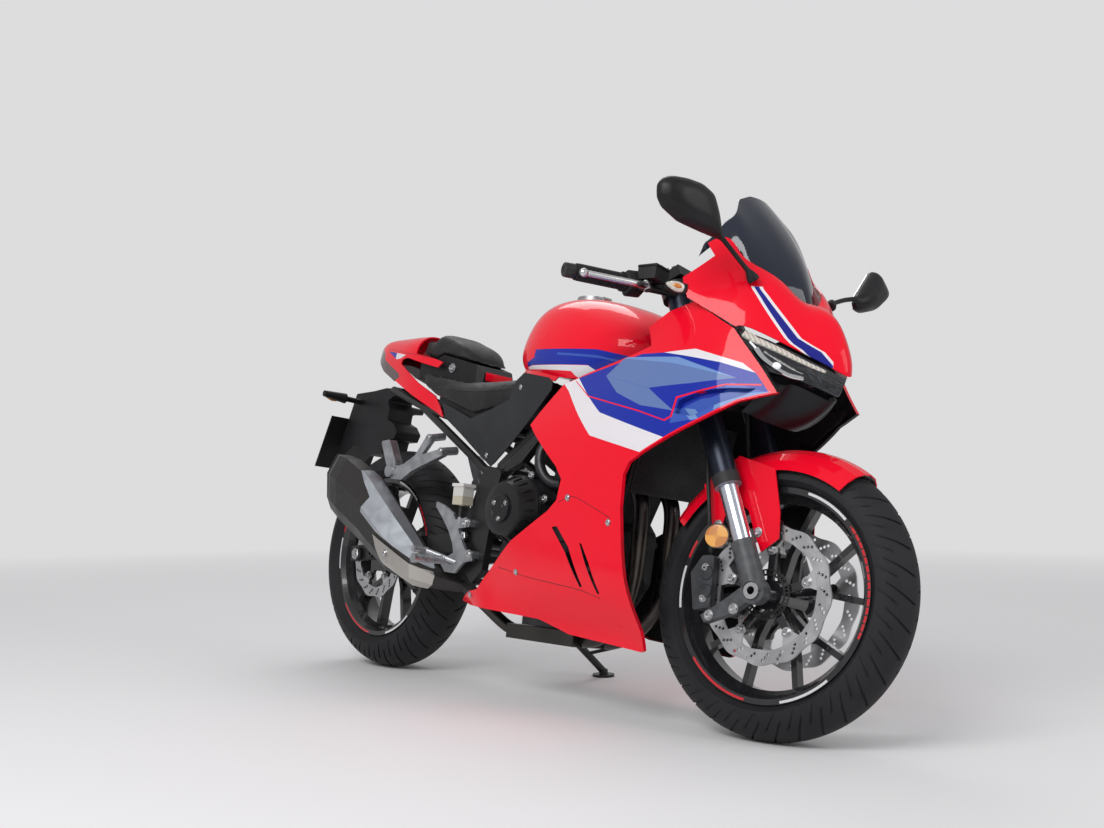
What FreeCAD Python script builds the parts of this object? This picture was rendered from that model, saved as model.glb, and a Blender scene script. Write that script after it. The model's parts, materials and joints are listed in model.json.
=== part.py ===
import FreeCAD, Part
import math
import os

os.makedirs("parts", exist_ok=True)

# A sport motorcycle. Every piece is drawn with the machine upright and its wheels straight:
# x forward, y to the rider's left, z up, zero on the ground halfway between the axles.
# The last section turns the bars, leans the machine on its side stand and writes the pieces.

# Driving dimensions, in millimetres and degrees
wheelbase = 1410.0
rake = 25.5
trail = 102.0
rim_seat_d = 431.8
front_tyre_width = 120.0
front_tyre_aspect = 0.70
rear_tyre_width = 160.0
rear_tyre_aspect = 0.60
front_crown_r = 60.0
rear_crown_r = 82.0
front_rim_width = 89.0
rear_rim_width = 114.0
front_disc_d = 296.0
rear_disc_d = 240.0
disc_thick = 4.5
fork_half_track = 105.0
fork_tube_r = 27.0
stanchion_r = 20.5
axle_r = 12.5
axle_bore_r = 8.5
clearance = 0.3
tyre_wall = 9.0
panel = 3.0
lean = 7.78
rest_steer = 9.16
stand_foot_x = -150.0
stand_foot_y = 330.0

# Sizes that follow
V = FreeCAD.Vector
front_r = rim_seat_d / 2 + front_tyre_width * front_tyre_aspect
rear_r = rim_seat_d / 2 + rear_tyre_width * rear_tyre_aspect
front_axle = V(wheelbase / 2, 0, front_r)
rear_axle = V(-wheelbase / 2, 0, rear_r)
axis_foot = V(wheelbase / 2 + trail, 0, 0)
axis_up = V(-math.sin(math.radians(rake)), 0, math.cos(math.radians(rake)))
axis_front = V(math.cos(math.radians(rake)), 0, math.sin(math.radians(rake)))


# Small builders for the shapes used below
def vec(p):
    return V(*p)


def rod(p, q, r):
    p = vec(p)
    q = vec(q)
    return Part.makeCylinder(r, (q - p).Length, p, q - p)


def taper(p, q, r1, r2):
    p = vec(p)
    q = vec(q)
    return Part.makeCone(r1, r2, (q - p).Length, p, q - p)


def block(x0, x1, y0, y1, z0, z1):
    return Part.makeBox(x1 - x0, y1 - y0, z1 - z0, V(x0, y0, z0))


def fuse(shapes):
    whole = shapes[0]
    for shape in shapes[1:]:
        whole = whole.fuse(shape)
    return whole.removeSplitter()


def largest(shape):
    return max(shape.Solids, key=lambda solid: solid.Volume)


def mirrored(shape):
    return shape.mirror(V(0, 0, 0), V(0, 1, 0))


def spline(points, closed=False):
    curve = Part.BSplineCurve()
    if closed:
        curve.interpolate([vec(p) for p in points], PeriodicFlag=True)
    else:
        curve.interpolate([vec(p) for p in points])
    return curve


def tube(points, r):
    curve = spline(points)
    start = curve.value(curve.FirstParameter)
    ring = Part.Wire(Part.makeCircle(r, start, curve.tangent(curve.FirstParameter)[0]))
    return Part.Wire(curve.toShape()).makePipeShell([ring], True, False)


def frame_tube(points, r):
    pieces = [rod(p, q, r) for p, q in zip(points, points[1:])]
    pieces += [Part.makeSphere(r, vec(p)) for p in points[1:-1]]
    return fuse(pieces)


def corners(points, radius):
    # A closed outline of 2-D points whose corners are rounded by one radius
    edges = []
    count = len(points)
    joins = []
    for i in range(count):
        a = V(*points[i - 1], 0)
        b = V(*points[i], 0)
        c = V(*points[(i + 1) % count], 0)
        u = (a - b).normalize()
        w = (c - b).normalize()
        half = u.getAngle(w) / 2
        run = min(radius / math.tan(half), 0.45 * (a - b).Length, 0.45 * (c - b).Length)
        reach = run / math.cos(half)
        sweep = run * math.tan(half)
        middle = b + (u + w).normalize() * (reach - sweep)
        joins.append((b + u * run, middle, b + w * run))
    for i in range(count):
        start, middle, end = joins[i]
        edges.append(Part.Arc(start, middle, end).toShape())
        edges.append(Part.makeLine(end, joins[(i + 1) % count][0]))
    return Part.Wire(edges)


def side_plate(points, y0, y1, radius=0.0):
    # A plate whose outline is seen from the side, between two distances from the middle
    if radius:
        wire = corners(points, radius)
        wire = wire.transformGeometry(FreeCAD.Matrix(1, 0, 0, 0, 0, 0, 1, y0, 0, 1, 0, 0))
    else:
        wire = Part.makePolygon([V(x, y0, z) for x, z in points + points[:1]])
    return Part.Face(wire).extrude(V(0, y1 - y0, 0))


def ring_of(profile, centre):
    # A body turned about a wheel's axle from points (across, radius)
    points = [V(centre.x, y, centre.z + r) for y, r in profile + profile[:1]]
    return Part.Face(Part.makePolygon(points)).revolve(centre, V(0, 1, 0), 360)


def wheel_plate(points, y0, y1, centre):
    # A flat piece of a wheel from points (angle, radius)
    flat = [V(centre.x + r * math.cos(math.radians(a)), y0, centre.z + r * math.sin(math.radians(a)))
            for a, r in points]
    return Part.Face(Part.makePolygon(flat + flat[:1])).extrude(V(0, y1 - y0, 0))


def loft(sections, ruled=False):
    wires = [Part.makePolygon([vec(p) for p in ring + ring[:1]]) for ring in sections]
    return Part.makeLoft(wires, True, ruled)


def quilt(rings):
    # A faceted body: triangles from ring to ring, with a fan of triangles at each end
    faces = []
    for a, b in zip(rings, rings[1:]):
        for i in range(len(a)):
            j = (i + 1) % len(a)
            faces += [(a[i], a[j], b[i]), (b[i], a[j], b[j])]
    for ring in (rings[0], rings[-1]):
        faces += [(ring[0], ring[k], ring[k + 1]) for k in range(1, len(ring) - 1)]
    skins = [Part.Face(Part.makePolygon([vec(p) for p in f + f[:1]])) for f in faces]
    shell = Part.makeShell(skins)
    shell.sewShape()
    solid = Part.makeSolid(Part.Shell(shell.Faces))
    if solid.Volume < 0:
        solid.reverse()
    return solid


def arch(x, half):
    # A cross-section at one x: a smooth line over the top, closed by a straight floor
    right = [(x, -y, z) for y, z in half]
    left = [(x, y, z) for y, z in reversed(half[:-1] if half[-1][0] == 0 else half)]
    line = spline(right + left).toShape()
    floor = Part.makeLine(vec(left[-1]), vec(right[0]))
    return Part.Wire([line, floor])


def shell_between(outer, inner):
    # A closed panel between two grids of points
    sheets = []
    for grid in (outer, inner):
        sheet = Part.BSplineSurface()
        sheet.interpolate([[vec(p) for p in row] for row in grid])
        sheets.append(sheet)
    a, b = sheets
    faces = [a.toShape(), b.toShape()]
    for end in (0, 1):
        u = [s.bounds()[end] for s in sheets]
        w = [s.bounds()[2 + end] for s in sheets]
        faces.append(Part.makeRuledSurface(a.uIso(u[0]).toShape(), b.uIso(u[1]).toShape()))
        faces.append(Part.makeRuledSurface(a.vIso(w[0]).toShape(), b.vIso(w[1]).toShape()))
    shell = Part.makeShell(faces)
    shell.sewShape()
    solid = Part.makeSolid(Part.Shell(shell.Faces))
    if solid.Volume < 0:
        solid.reverse()
    return solid


def on_fork(along, ahead=0.0, y=0.0):
    # A point by its distance up the fork leg from the axle, and ahead of the leg's line
    p = front_axle + axis_up * along + axis_front * ahead
    return (p.x, y, p.z)


pieces = {}

# Tyres: a round crown, straight side walls and a bead that sits on the rim
def tyre(axle, radius, width, crown, rim_width):
    bead = rim_seat_d / 2 + clearance
    half = rim_width / 2 - clearance
    centre_r = radius - crown
    thin = 1 - tyre_wall / crown
    wide = math.degrees(math.acos(min(1.0, (width / 2) / crown)))
    steps = [90 - (90 - wide) * k / 4 for k in range(5)]
    outer = [(crown * math.cos(math.radians(a)), centre_r + crown * math.sin(math.radians(a))) for a in steps]
    inner = [(y * thin, centre_r + (r - centre_r) * thin) for y, r in outer[::-1]]
    right = outer + [(half, bead + 11), (half, bead), (half - 8, bead), (half - 8, bead + 11)] + inner
    left = [(-y, r) for y, r in right[::-1]]
    loop = right + left[1:-1]
    return ring_of(loop, axle)


pieces["front_tyre"] = tyre(front_axle, front_r, front_tyre_width, front_crown_r, front_rim_width)
pieces["rear_tyre"] = tyre(rear_axle, rear_r, rear_tyre_width, rear_crown_r, rear_rim_width)


# Wheels: a rolled rim, five forked spokes and a hub bored for the axle
def rim(axle, rim_width):
    seat = rim_seat_d / 2
    h = rim_width / 2
    outer = [(-h - 5, seat + 10), (-h, seat + 10), (-h, seat), (-h + 14, seat), (-h + 24, seat - 13)]
    inner = [(-h - 5, seat - 2), (-h + 6, seat - 10), (-h + 26, seat - 21)]
    top = outer + [(-y, r) for y, r in outer[::-1]]
    low = inner + [(-y, r) for y, r in inner[::-1]]
    return ring_of(top + low[::-1], axle)


def wheel(axle, rim_width, hub_half, hub_r, spoke_half, turn, disc_bolt_r, disc_sides):
    reach = rim_seat_d / 2 - 18
    parts = [rim(axle, rim_width)]
    hub = rod((axle.x, -hub_half, axle.z), (axle.x, hub_half, axle.z), hub_r)
    parts.append(hub)
    for k in range(5):
        a = turn + 72 * k
        for s in (-1, 1):
            arm = [(a + s * 5 - 8, hub_r - 4), (a + s * 9 - 4.2, 92), (a + s * 18 - 2.0, reach),
                   (a + s * 18 + 2.0, reach), (a + s * 9 + 4.2, 92), (a + s * 5 + 8, hub_r - 4)]
            parts.append(wheel_plate(arm, -spoke_half, spoke_half, axle))
        parts.append(wheel_plate([(a - 20, hub_r - 4), (a - 7, 84), (a + 7, 84), (a + 20, hub_r - 4)],
                                 -spoke_half + 3, spoke_half - 3, axle))
        for s in disc_sides:
            face = s * hub_half
            root = face - s * 9
            parts.append(wheel_plate([(a - 16, hub_r - 6), (a - 5, disc_bolt_r), (a + 5, disc_bolt_r), (a + 16, hub_r - 6)],
                                     min(face, root), max(face, root), axle))
            b = math.radians(a)
            spot = V(disc_bolt_r * math.cos(b), 0, disc_bolt_r * math.sin(b)) + axle
            parts.append(rod((spot.x, root, spot.z), (spot.x, face, spot.z), 11))
    bore = rod((axle.x, -hub_half - 1, axle.z), (axle.x, hub_half + 1, axle.z), axle_r + clearance)
    return fuse(parts).cut(bore)


front_hub_half = 56.0
rear_hub_half = 70.0
front_disc_bolt_r = 94.0
rear_disc_bolt_r = 70.0
pieces["front_wheel"] = wheel(front_axle, front_rim_width, front_hub_half, 32, 12, 20, front_disc_bolt_r, (-1, 1))
pieces["rear_wheel"] = wheel(rear_axle, rear_rim_width, rear_hub_half, 42, 15, 20, rear_disc_bolt_r, (-1,))


# Brake discs: a waved ring with drilled holes and five ears bolted to the wheel
def disc(axle, diameter, width, y, bolt_r, waves):
    out = []
    inn = []
    count = waves * 6
    for k in range(count):
        a = 2 * math.pi * k / count
        dip = 2.6 * (1 - math.cos(waves * a))
        ro = diameter / 2 - dip
        ri = diameter / 2 - width + 0.8 * (1 - math.cos(waves * a))
        out.append((axle.x + ro * math.cos(a), y, axle.z + ro * math.sin(a)))
        inn.append((axle.x + ri * math.cos(a), y, axle.z + ri * math.sin(a)))
    faces = [Part.Face(Part.Wire(spline(line, closed=True).toShape())) for line in (out, inn)]
    ring = faces[0].extrude(V(0, disc_thick, 0)).cut(faces[1].extrude(V(0, disc_thick, 0)))
    parts = [ring]
    holes = []
    root_r = diameter / 2 - width + 6
    for k in range(5):
        a = 20 + 72 * k
        ear = [(a - 12, root_r), (a - 6, bolt_r), (a + 6, bolt_r), (a + 12, root_r)]
        parts.append(wheel_plate(ear, y, y + disc_thick, axle))
        b = math.radians(a)
        spot = V(bolt_r * math.cos(b), 0, bolt_r * math.sin(b)) + axle
        parts.append(rod((spot.x, y, spot.z), (spot.x, y + disc_thick, spot.z), 12))
        holes.append(rod((spot.x, y - 1, spot.z), (spot.x, y + disc_thick + 1, spot.z), 4.2))
    for k in range(waves * 2):
        a = 2 * math.pi * (k + 0.5) / (waves * 2)
        for step, r in enumerate((0.26, 0.50, 0.74)):
            rr = diameter / 2 - 5 - (width - 8) * r
            b = a + (step - 1) * 0.05
            holes.append(rod((axle.x + rr * math.cos(b), y - 1, axle.z + rr * math.sin(b)),
                             (axle.x + rr * math.cos(b), y + disc_thick + 1, axle.z + rr * math.sin(b)), 3.4))
    return fuse(parts).cut(Part.makeCompound(holes))


front_disc_y = front_hub_half + clearance
pieces["front_disc_left"] = disc(front_axle, front_disc_d, 34, front_disc_y, front_disc_bolt_r, 12)
pieces["front_disc_right"] = disc(front_axle, front_disc_d, 34, -front_disc_y - disc_thick, front_disc_bolt_r, 12)
pieces["rear_disc"] = disc(rear_axle, rear_disc_d, 32, -rear_hub_half - clearance - disc_thick, rear_disc_bolt_r, 10)

# Front axle: a hollow spindle across both fork feet
foot_half = 14.0
axle_end = fork_half_track + foot_half + 6
axle_solid = rod((front_axle.x, -axle_end, front_axle.z), (front_axle.x, axle_end, front_axle.z), axle_r)
axle_head = rod((front_axle.x, axle_end - 5, front_axle.z), (front_axle.x, axle_end, front_axle.z), 17)
axle_hole = rod((front_axle.x, -axle_end - 1, front_axle.z), (front_axle.x, axle_end + 1, front_axle.z), axle_bore_r)
pieces["front_axle"] = fuse([axle_solid, axle_head]).cut(axle_hole)


# Fork legs: foot with a caliper arm, bright stanchion, dust seal and dark outer tube
chrome_low = 110.0
seal_low = 236.0
fork_top = 758.0


def fork_leg(y):
    parts = [rod(on_fork(-6, 0, y), on_fork(chrome_low, 0, y), 25)]
    parts.append(rod((front_axle.x, y - foot_half, front_axle.z), (front_axle.x, y + foot_half, front_axle.z), 27))
    parts.append(rod(on_fork(chrome_low - 30, 0, y), on_fork(seal_low, 0, y), stanchion_r))
    parts.append(rod(on_fork(seal_low, 0, y), on_fork(seal_low + 26, 0, y), fork_tube_r + 2))
    parts.append(rod(on_fork(seal_low + 26, 0, y), on_fork(fork_top, 0, y), fork_tube_r))
    parts.append(rod(on_fork(fork_top, 0, y), on_fork(fork_top + 12, 0, y), 14))
    arm = [on_fork(-14, -4), on_fork(-26, -70), on_fork(-22, -128), on_fork(-4, -132),
           on_fork(6, -70), on_fork(22, -4)]
    parts.append(side_plate([(p[0], p[2]) for p in arm], y - 12, y + 12))
    s = 1 if y > 0 else -1
    bore = rod((front_axle.x, y - 40, front_axle.z), (front_axle.x, y + 40, front_axle.z), axle_r + 0.05)
    recess = rod((front_axle.x, y + s * foot_half, front_axle.z), (front_axle.x, y + s * 40, front_axle.z), 18)
    return fuse(parts).cut(bore).cut(recess)


pieces["fork_left"] = fork_leg(fork_half_track)
pieces["fork_right"] = fork_leg(-fork_half_track)


# Front calipers: blocks astride the discs, behind the legs, on radial bolts
def front_caliper(y):
    s = 1 if y > 0 else -1
    mid = s * (front_disc_y + disc_thick / 2)
    face = [on_fork(16, -126), on_fork(118, -84), on_fork(128, -112), on_fork(104, -150), on_fork(24, -168)]
    body = side_plate([(p[0], p[2]) for p in face], mid - 24, mid + 24, 6)
    slot = ring_of([(mid - 5, 60), (mid + 5, 60), (mid + 5, front_disc_d / 2 + 3), (mid - 5, front_disc_d / 2 + 3)],
                   front_axle)
    return body.cut(slot)


pieces["front_caliper_left"] = front_caliper(1)
pieces["front_caliper_right"] = front_caliper(-1)

# Yokes and steering stem
lower_yoke = 486.0
upper_yoke = fork_top - 30.0
yoke_thick = 24.0
stem_r = 15.0
stem_bore_r = 9.0


def yoke(along):
    outline = [(36, -138), (36, 138), (-26, 138), (-56, 54), (-64, 0), (-56, -54), (-26, -138)]
    points = [vec(on_fork(along, a, y)) for a, y in outline]
    plate = Part.Face(Part.makePolygon(points + points[:1])).extrude(axis_up * yoke_thick)
    return plate


stem_line = (axis_foot - front_axle).dot(axis_front)
stem = rod(on_fork(lower_yoke - 6, stem_line), on_fork(upper_yoke + yoke_thick + 8, stem_line), stem_r)
yokes = fuse([yoke(lower_yoke), yoke(upper_yoke), stem])
fork_holes = [rod(on_fork(seal_low, 0, y), on_fork(fork_top + 20, 0, y), fork_tube_r + 0.05)
              for y in (-fork_half_track, fork_half_track)]
stem_hole = rod(on_fork(lower_yoke - 20, stem_line), on_fork(upper_yoke + yoke_thick + 20, stem_line), stem_bore_r)
pieces["yokes"] = yokes.cut(Part.makeCompound(fork_holes + [stem_hole]))


# Handlebars: a clamp under the top yoke, a bar, a grip, switches, a lever and its perch
clip_low = fork_top - 64.0
clip_high = fork_top - 34.0
bar_end = (300.0, 356.0, 918.0)


def handlebar(brake):
    y = fork_half_track
    clamp = rod(on_fork(clip_low, 0, y), on_fork(clip_high, 0, y), fork_tube_r + 9)
    start = vec(on_fork((clip_low + clip_high) / 2, -6, y + 22))
    end = V(*bar_end)
    way = (end - start).normalize()
    length = (end - start).Length
    def at(d):
        return tuple(start + way * d)
    parts = [clamp, rod(at(0), at(length), 11)]
    parts.append(rod(at(length - 128), at(length - 12), 16.5))
    parts.append(rod(at(length - 12), at(length + 14), 15))
    parts.append(rod(at(length - 132), at(length - 126), 20))
    parts.append(rod(at(length - 172), at(length - 136), 19))
    ahead = axis_front * 0.8 - axis_up * 0.6
    perch = start + way * (length - 158)
    knuckle = perch + ahead * 42 + way * 6
    parts.append(rod(tuple(perch), tuple(knuckle), 11))
    bend = perch + ahead * 60 + way * 40
    tip = perch + ahead * 52 + way * 168
    parts.append(rod(tuple(knuckle), tuple(bend), 6))
    parts.append(rod(tuple(bend), tuple(tip), 5.5))
    parts.append(Part.makeSphere(6, knuckle))
    parts.append(Part.makeSphere(6, bend))
    parts.append(Part.makeSphere(8.5, tip))
    if brake:
        cup = perch + ahead * 30 - way * 16 + V(0, 0, 12)
        parts.append(rod(tuple(perch), tuple(cup + V(0, 0, 4)), 7))
        parts.append(block(cup.x - 24, cup.x + 24, cup.y - 24, cup.y + 24, cup.z, cup.z + 28))
    whole = fuse(parts)
    hole = rod(on_fork(clip_low - 5, 0, y), on_fork(clip_high + 5, 0, y), fork_tube_r + 0.05)
    return whole.cut(hole)


pieces["handlebar_left"] = handlebar(False)
pieces["handlebar_right"] = mirrored(handlebar(True))


# Front mudguard: an arched shell over the tyre with a blade down each side
guard_gap = 13.0
guard_r = front_r + guard_gap


def front_guard():
    crown = front_crown_r + guard_gap
    section = []
    for k in range(-4, 5):
        a = math.radians(90 + k * 19)
        section.append((crown * math.cos(a), front_r - front_crown_r + crown * math.sin(a)))
    thin = crown - panel
    inner = [(y * thin / crown, front_r - front_crown_r + (r - front_r + front_crown_r) * thin / crown)
             for y, r in section]
    loop = section + inner[::-1]
    points = [V(front_axle.x, y, front_axle.z + r) for y, r in loop + loop[:1]]
    face = Part.Face(Part.makePolygon(points))
    face.rotate(front_axle, V(0, 1, 0), 32)
    arc = face.revolve(front_axle, V(0, 1, 0), -92)
    blade = [(600, 585), (690, 560), (716, 470), (722, 414), (684, 384), (664, 420), (640, 470), (592, 500),
             (580, 430), (556, 436), (520, 520)]
    parts = [arc]
    for s in (-1, 1):
        y = s * (crown - panel)
        parts.append(side_plate(blade, y, y + s * panel))
    return fuse(parts)


pieces["front_mudguard"] = front_guard()

# Frame: steering head, twin spars, pivot plates, cross tubes and the seat rails
head_low = lower_yoke + yoke_thick + 4
head_high = upper_yoke - 4
head = rod(on_fork(head_low, stem_line), on_fork(head_high, stem_line), 31)
head_bore = rod(on_fork(head_low - 5, stem_line), on_fork(head_high + 5, stem_line), stem_r + 2)
head_mid = on_fork(head_low + 66, stem_line - 12)
head_foot = on_fork(head_low + 24, stem_line - 12)
pivot = V(-215, 0, 380)
frame_parts = [head]
pivot_plate = [(-146, 560), (-100, 548), (-118, 480), (-140, 300), (-180, 262), (-222, 300), (-262, 392), (-214, 450),
               (-180, 540)]
plate_near = 114.0
plate_far = 134.0
for s in (-1, 1):
    frame_parts.append(frame_tube([head_mid, (250, s * 104, 722), (60, s * 112, 668), (-130, s * 106, 546)], 17))
    frame_parts.append(frame_tube([head_foot, (300, s * 106, 640), (150, s * 110, 596), (60, s * 112, 668)], 14))
    frame_parts.append(side_plate(pivot_plate, s * plate_near, s * plate_far, 10))
    frame_parts.append(rod((-130, s * 96, 546), (-130, s * 124, 546), 17))
    frame_parts.append(frame_tube([(-150, s * 108, 548), (-205, s * 103, 556), (-555, s * 77, 738), (-752, s * 46, 797)], 11))
    frame_parts.append(frame_tube([(-20, s * 108, 620), (-240, s * 92, 660), (-555, s * 77, 738)], 11))
    spar = [(20, 694), (82, 690), (96, 664), (20, 628), (-40, 572), (-100, 548), (-146, 560), (-104, 590), (-40, 632)]
    frame_parts.append(side_plate(spar, s * 100, s * 122, 8))
    frame_parts.append(rod((-186, s * 110, 290), (-186, s * 120, 290), 14))
frame_parts.append(rod((-150, -110, 548), (-150, 110, 548), 14))
frame_parts.append(rod((-186, -116, 290), (-186, 116, 290), 11))
frame_parts.append(rod((-555, -77, 738), (-555, 77, 738), 10))
frame_parts.append(rod((-752, -46, 797), (-752, 46, 797), 10))
pivot_bolt_r = 10.0
frame_parts.append(rod((pivot.x, -plate_far - 10, pivot.z), (pivot.x, plate_far + 10, pivot.z), pivot_bolt_r))
for s in (-1, 1):
    frame_parts.append(rod((pivot.x, s * (plate_far - 2), pivot.z), (pivot.x, s * (plate_far + 10), pivot.z), 15))
pieces["frame"] = fuse(frame_parts).cut(head_bore)

# Swingarm: pivot tube, two arms that splay round the wheel, and the rear axle
arm_y = 127.0


def arm_side(s):
    parts = []
    line = [(pivot.x, 74, pivot.z), (-272, 74, 370), (-380, arm_y, 352), (rear_axle.x - 42, arm_y, rear_axle.z)]
    for p, q, h0, h1 in zip(line, line[1:], (30, 25, 25), (25, 25, 21)):
        rings = []
        for point, h in ((p, h0), (q, h1)):
            x, y, z = point
            rings.append([(x, s * (y - 11), z - h), (x, s * (y + 11), z - h), (x, s * (y + 11), z + h), (x, s * (y - 11), z + h)])
        parts.append(loft(rings, True))
    return fuse(parts)


swing = [arm_side(-1), arm_side(1), rod((pivot.x, 0.6 - plate_near, pivot.z), (pivot.x, plate_near - 0.6, pivot.z), 25)]
swing.append(rod((-330, -100, 361), (-330, 100, 361), 20))
swing.append(rod((rear_axle.x, -arm_y - 24, rear_axle.z), (rear_axle.x, arm_y + 24, rear_axle.z), axle_r))
for s in (-1, 1):
    swing.append(rod((rear_axle.x, s * (arm_y + 8), rear_axle.z), (rear_axle.x, s * (arm_y + 20), rear_axle.z), 20))
    swing.append(rod((rear_axle.x + 70, s * (arm_y + 8), rear_axle.z + 4), (rear_axle.x + 70, s * (arm_y + 22), rear_axle.z + 4), 11))
bobbin_r = 4.0
bobbin_depth = 26.0
bobbin_holes = [rod((rear_axle.x + 70, s * (arm_y + 23), rear_axle.z + 4),
                    (rear_axle.x + 70, s * (arm_y + 22 - bobbin_depth), rear_axle.z + 4), bobbin_r) for s in (-1, 1)]
pivot_bolt_hole = rod((pivot.x, -140, pivot.z), (pivot.x, 140, pivot.z), pivot_bolt_r + clearance)
pieces["swingarm"] = fuse(swing).cut(Part.makeCompound(bobbin_holes + [pivot_bolt_hole]))

# Rear shock between the frame and the swingarm
shock = [rod((-262, 0, 408), (-205, 0, 640), 13), rod((-255, 0, 440), (-218, 0, 590), 30)]
pieces["rear_shock"] = fuse(shock)

# Final drive: rear sprocket on the hub, chain loop and front sprocket
chain_y = 104.0
rear_sprocket_r = 103.7
front_sprocket_r = 38.2
front_sprocket = V(-125, chain_y, 386)
sprocket_mid = rod((rear_axle.x, rear_hub_half + clearance, rear_axle.z), (rear_axle.x, chain_y + 3, rear_axle.z), 46)
sprocket_disc = rod((rear_axle.x, chain_y - 3, rear_axle.z), (rear_axle.x, chain_y + 3, rear_axle.z), rear_sprocket_r - 4)
sprocket_bore = rod((rear_axle.x, 0, rear_axle.z), (rear_axle.x, chain_y + 9, rear_axle.z), axle_r + clearance)
windows = []
for k in range(5):
    a = math.radians(72 * k)
    windows.append(rod((rear_axle.x + 74 * math.cos(a), chain_y - 9, rear_axle.z + 74 * math.sin(a)),
                       (rear_axle.x + 74 * math.cos(a), chain_y + 9, rear_axle.z + 74 * math.sin(a)), 16))
pieces["rear_sprocket"] = fuse([sprocket_mid, sprocket_disc]).cut(Part.makeCompound(windows + [sprocket_bore]))


def belt(r1, r2, y0, y1):
    # The flat loop round both sprockets
    d = V(front_sprocket.x - rear_axle.x, 0, front_sprocket.z - rear_axle.z)
    gap = d.Length
    tilt = math.atan2(d.z, d.x)
    lead = math.acos((r1 - r2) / gap)
    c1 = V(rear_axle.x, y0, rear_axle.z)
    c2 = V(front_sprocket.x, y0, front_sprocket.z)
    def on(c, r, a):
        return c + V(r * math.cos(a), 0, r * math.sin(a))
    up1 = on(c1, r1, tilt + lead)
    up2 = on(c2, r2, tilt + lead)
    low1 = on(c1, r1, tilt - lead)
    low2 = on(c2, r2, tilt - lead)
    edges = [Part.makeLine(up1, up2), Part.Arc(up2, on(c2, r2, tilt), low2).toShape(),
             Part.makeLine(low2, low1), Part.Arc(low1, on(c1, r1, tilt + math.pi), up1).toShape()]
    return Part.Face(Part.Wire(edges)).extrude(V(0, y1 - y0, 0))


pieces["chain"] = belt(rear_sprocket_r + 8, front_sprocket_r + 8, chain_y - 8, chain_y + 8).cut(
    belt(rear_sprocket_r - 3, front_sprocket_r - 3, chain_y - 8, chain_y + 8))

# Rear caliper above the disc, on a bracket from the swingarm
caliper_y = -rear_hub_half - clearance - disc_thick / 2
rear_face = [(-650, 405), (-610, 386), (-586, 420), (-600, 452), (-650, 460), (-668, 430)]
rear_block = side_plate(rear_face, caliper_y - 22, caliper_y + 20, 5)
rear_slot = ring_of([(caliper_y - 5, 50), (caliper_y + 5, 50), (caliper_y + 5, rear_disc_d / 2 + 3),
                     (caliper_y - 5, rear_disc_d / 2 + 3)], rear_axle)
pieces["rear_caliper"] = rear_block.cut(rear_slot)

# Engine: crankcase with its joint flange, tilted cylinders, head cover, sump and the side covers
case_outline = [(-150, 300), (-120, 215), (160, 205), (230, 300), (236, 420), (190, 470), (-60, 500), (-96, 440)]
engine_parts = [side_plate(case_outline, -92, 92, 24)]
engine_parts.append(side_plate([(-60, 376), (236, 392), (236, 404), (-60, 388)], -97, 97))
cylinder_outline = [(20, 470), (210, 430), (290, 600), (250, 660), (130, 690), (80, 640)]
engine_parts.append(side_plate(cylinder_outline, -86, 86, 14))
engine_parts.append(side_plate([(58, 590), (262, 536), (268, 550), (64, 604)], -92, 92))
engine_parts.append(side_plate([(72, 640), (282, 584), (287, 598), (78, 654)], -92, 92))
clutch_x = -8.0
clutch_z = 450.0
engine_parts.append(rod((clutch_x, -150, clutch_z), (clutch_x, 0, clutch_z), 87))
engine_parts.append(taper((clutch_x, -150, clutch_z), (clutch_x, -196, clutch_z), 83, 62))
engine_parts.append(rod((clutch_x, -202, clutch_z), (clutch_x, -190, clutch_z), 34))
clutch_rim = 97.0
for k in range(7):
    a = math.radians(20 + 360 / 7 * k)
    bx = clutch_x + (clutch_rim - 6) * math.cos(a)
    bz = clutch_z + (clutch_rim - 6) * math.sin(a)
    engine_parts.append(rod((bx, -136, bz), (bx, -60, bz), 9))
alternator_x = 20.0
engine_parts.append(rod((alternator_x, 0, 440), (alternator_x, 150, 440), 78))
engine_parts.append(taper((alternator_x, 150, 440), (alternator_x, 168, 440), 78, 66))
engine_parts.append(rod((140, 60, 330), (140, 132, 330), 34))
engine_parts.append(rod((150, -126, 322), (150, -60, 322), 38))
engine_parts.append(block(-40, 120, -70, 70, 176, 215))
engine_parts.append(rod((215, 0, 290), (280, 0, 298), 25))
engine_parts.append(tube([(60, -70, 640), (20, -112, 600), (30, -118, 556), (90, -100, 520)], 13))
engine_parts.append(tube([(140, -80, 520), (190, -118, 470), (196, -122, 400), (168, -110, 345)], 12))
pieces["engine"] = fuse(engine_parts)

# Radiator ahead of the cylinders
rad = block(-16, 16, -150, 150, -90, 90)
rad.rotate(V(0, 0, 0), V(0, 1, 0), 14)
rad.translate(V(371, 0, 591))
pieces["radiator"] = rad

# Exhaust: two header pipes under the engine into a collector and one link pipe
pipes = []
for s in (-1, 1):
    pipes.append(tube([(276, s * 46, 536), (312, s * 50, 496), (322, s * 50, 400), (300, s * 48, 250), (240, s * 42, 184),
                       (150, s * 36, 156)], 19))
pipes.append(block(-90, 160, -76, 30, 138, 174))
pipes.append(tube([(-80, -30, 156), (-130, -44, 166), (-168, -72, 200), (-205, -98, 230)], 16))
pieces["exhaust_pipes"] = fuse(pipes)

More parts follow.
